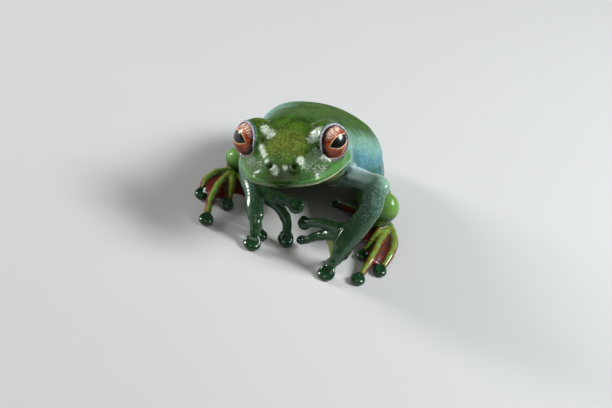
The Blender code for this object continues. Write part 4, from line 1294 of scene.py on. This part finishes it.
def add_granules(skin, material):
    """The fine granules of the cheeks and the pale patches, as one plain mesh."""
    mesh = skin.data.copy()
    values = {}
    for name in ("cheek", "pale"):
        values[name] = np.empty(len(mesh.vertices), np.float32)
        mesh.attributes[name].data.foreach_get("value", values[name])
    granular = np.clip(values["cheek"] + 0.6 * values["pale"], 0, 1)
    attribute = mesh.attributes.new("granular", "FLOAT", "POINT")
    attribute.data.foreach_set("value", np.where(granular > 0.3, granular, 0).astype(np.float32))
    obj = bpy.data.objects.new("skin_granules", mesh)
    bpy.context.scene.collection.objects.link(obj)
    modifier = obj.modifiers.new("granules", "NODES")
    modifier.node_group = granule_tree()
    wanted = {"Spacing": 0.27 * MM, "Radius": 0.10 * MM, "Density": 9.0e6, "Seed": 7, "Finish": material}
    for item in modifier.node_group.interface.items_tree:
        if item.in_out == "INPUT" and item.name in wanted:
            modifier[item.identifier] = wanted[item.name]
    bake_modifiers(obj)
    obj.data.materials.clear()
    obj.data.materials.append(material)
    obj.data.polygons.foreach_set("material_index", [0] * len(obj.data.polygons))
    return obj


def to_frame(obj, shift):
    """Takes a piece from the pose's millimetres to the frame's metres."""
    obj.data.transform(Matrix.Translation(shift) @ Matrix.Scale(MM, 4))
    obj.data.update()
    obj.data.shade_smooth()


def thin_out(obj):
    """Keeps the skin under its limit of triangles."""
    count = sum(len(p.vertices) - 2 for p in obj.data.polygons)
    if count > MOST_TRIANGLES:
        modifier = obj.modifiers.new("thin", "DECIMATE")
        modifier.ratio = MOST_TRIANGLES / count
        bake_modifiers(obj)


def add_camera(shift):
    """The photograph's angle: from the front and the frog's own left, above, and tilted."""
    back, right, up = directions(CAMERA_AZIMUTH, CAMERA_ELEVATION, CAMERA_ROLL)
    focal = CAMERA_LENS / SENSOR * PICTURE[0]
    across, down = AIM_PIXEL[0] - PICTURE[0] / 2, AIM_PIXEL[1] - PICTURE[1] / 2
    ray = right * (across / focal) - up * (down / focal) - back
    place = AIM_POINT - ray * (focal / PIXELS_PER_MM)
    camera = bpy.data.objects.new("camera", bpy.data.cameras.new("camera"))
    camera.data.lens, camera.data.sensor_width = CAMERA_LENS, SENSOR
    camera.data.clip_start, camera.data.clip_end = 0.01, 10
    turn = Matrix((right, up, back)).transposed().to_4x4()
    camera.matrix_world = Matrix.Translation(place * MM + shift) @ turn
    bpy.context.scene.collection.objects.link(camera)
    bpy.context.scene.camera = camera


def add_light(name, place, size, watts, color=(1, 1, 1)):
    """A soft box that faces the frog."""
    lamp = bpy.data.lights.new(name, "AREA")
    lamp.shape, lamp.size, lamp.size_y = "RECTANGLE", size[0], size[1]
    lamp.energy, lamp.color = watts, color
    obj = bpy.data.objects.new(name, lamp)
    obj.location = place
    obj.rotation_mode = "QUATERNION"
    obj.rotation_quaternion = (Vector(place) - Vector((0, -0.005, 0.008))).to_track_quat("Z", "Y")
    bpy.context.scene.collection.objects.link(obj)


def add_studio():
    """A pale floor and soft studio light."""
    floor = new_object("floor", [(-3, -3, 0), (3, -3, 0), (3, 3, 0), (-3, 3, 0)], [(0, 1, 2, 3)])
    f = Finish("pale_floor")
    color = f.mix(f.noise(f.place(), 60, 3) * 0.25, rgb(0.56, 0.56, 0.55), rgb(0.51, 0.51, 0.50))
    look = f.shader({"Base Color": color, "Roughness": 0.9, "Specular IOR Level": 0.1})
    floor.data.materials.append(look)
    world = bpy.data.worlds.new("studio")
    bpy.context.scene.world = world
    world.use_nodes = True
    backdrop = world.node_tree.nodes["Background"]
    backdrop.inputs["Color"].default_value = rgb(0.85, 0.92, 1.0)
    backdrop.inputs["Strength"].default_value = 0.06
    add_light("left_box", (-0.38, -0.06, 0.125), (0.09, 0.18), 1.55)
    add_light("right_box", (0.26, 0.13, 0.28), (0.20, 0.14), 2.15, (0.95, 0.98, 1.0))
    add_light("front", (0.03, -0.30, 0.34), (0.28, 0.24), 0.35)
    bpy.context.scene.view_settings.view_transform = "Standard"


SHIFT = (sum(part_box("eye_left"), Vector()) / 2) - eye_middle(1) * MM
add_camera(SHIFT)
add_studio()

skin_look, eye_look = skin_finish(), eye_finish()
skin = build_skin()
skin.name = skin.data.name = "frog_skin"
skin.data.materials.clear()
skin.data.materials.append(skin_look)
to_frame(skin, SHIFT)
thin_out(skin)
granules = add_granules(skin, granule_finish())
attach(skin, "root")
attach(granules, "root")
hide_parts(*(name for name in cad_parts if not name.startswith("eye_")))
for name, side in (("left", 1), ("right", -1)):
    eye = add_eye("eyeball_" + name, side, eye_look)
    to_frame(eye, SHIFT)
    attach(eye, "root")
    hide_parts("eye_" + name)
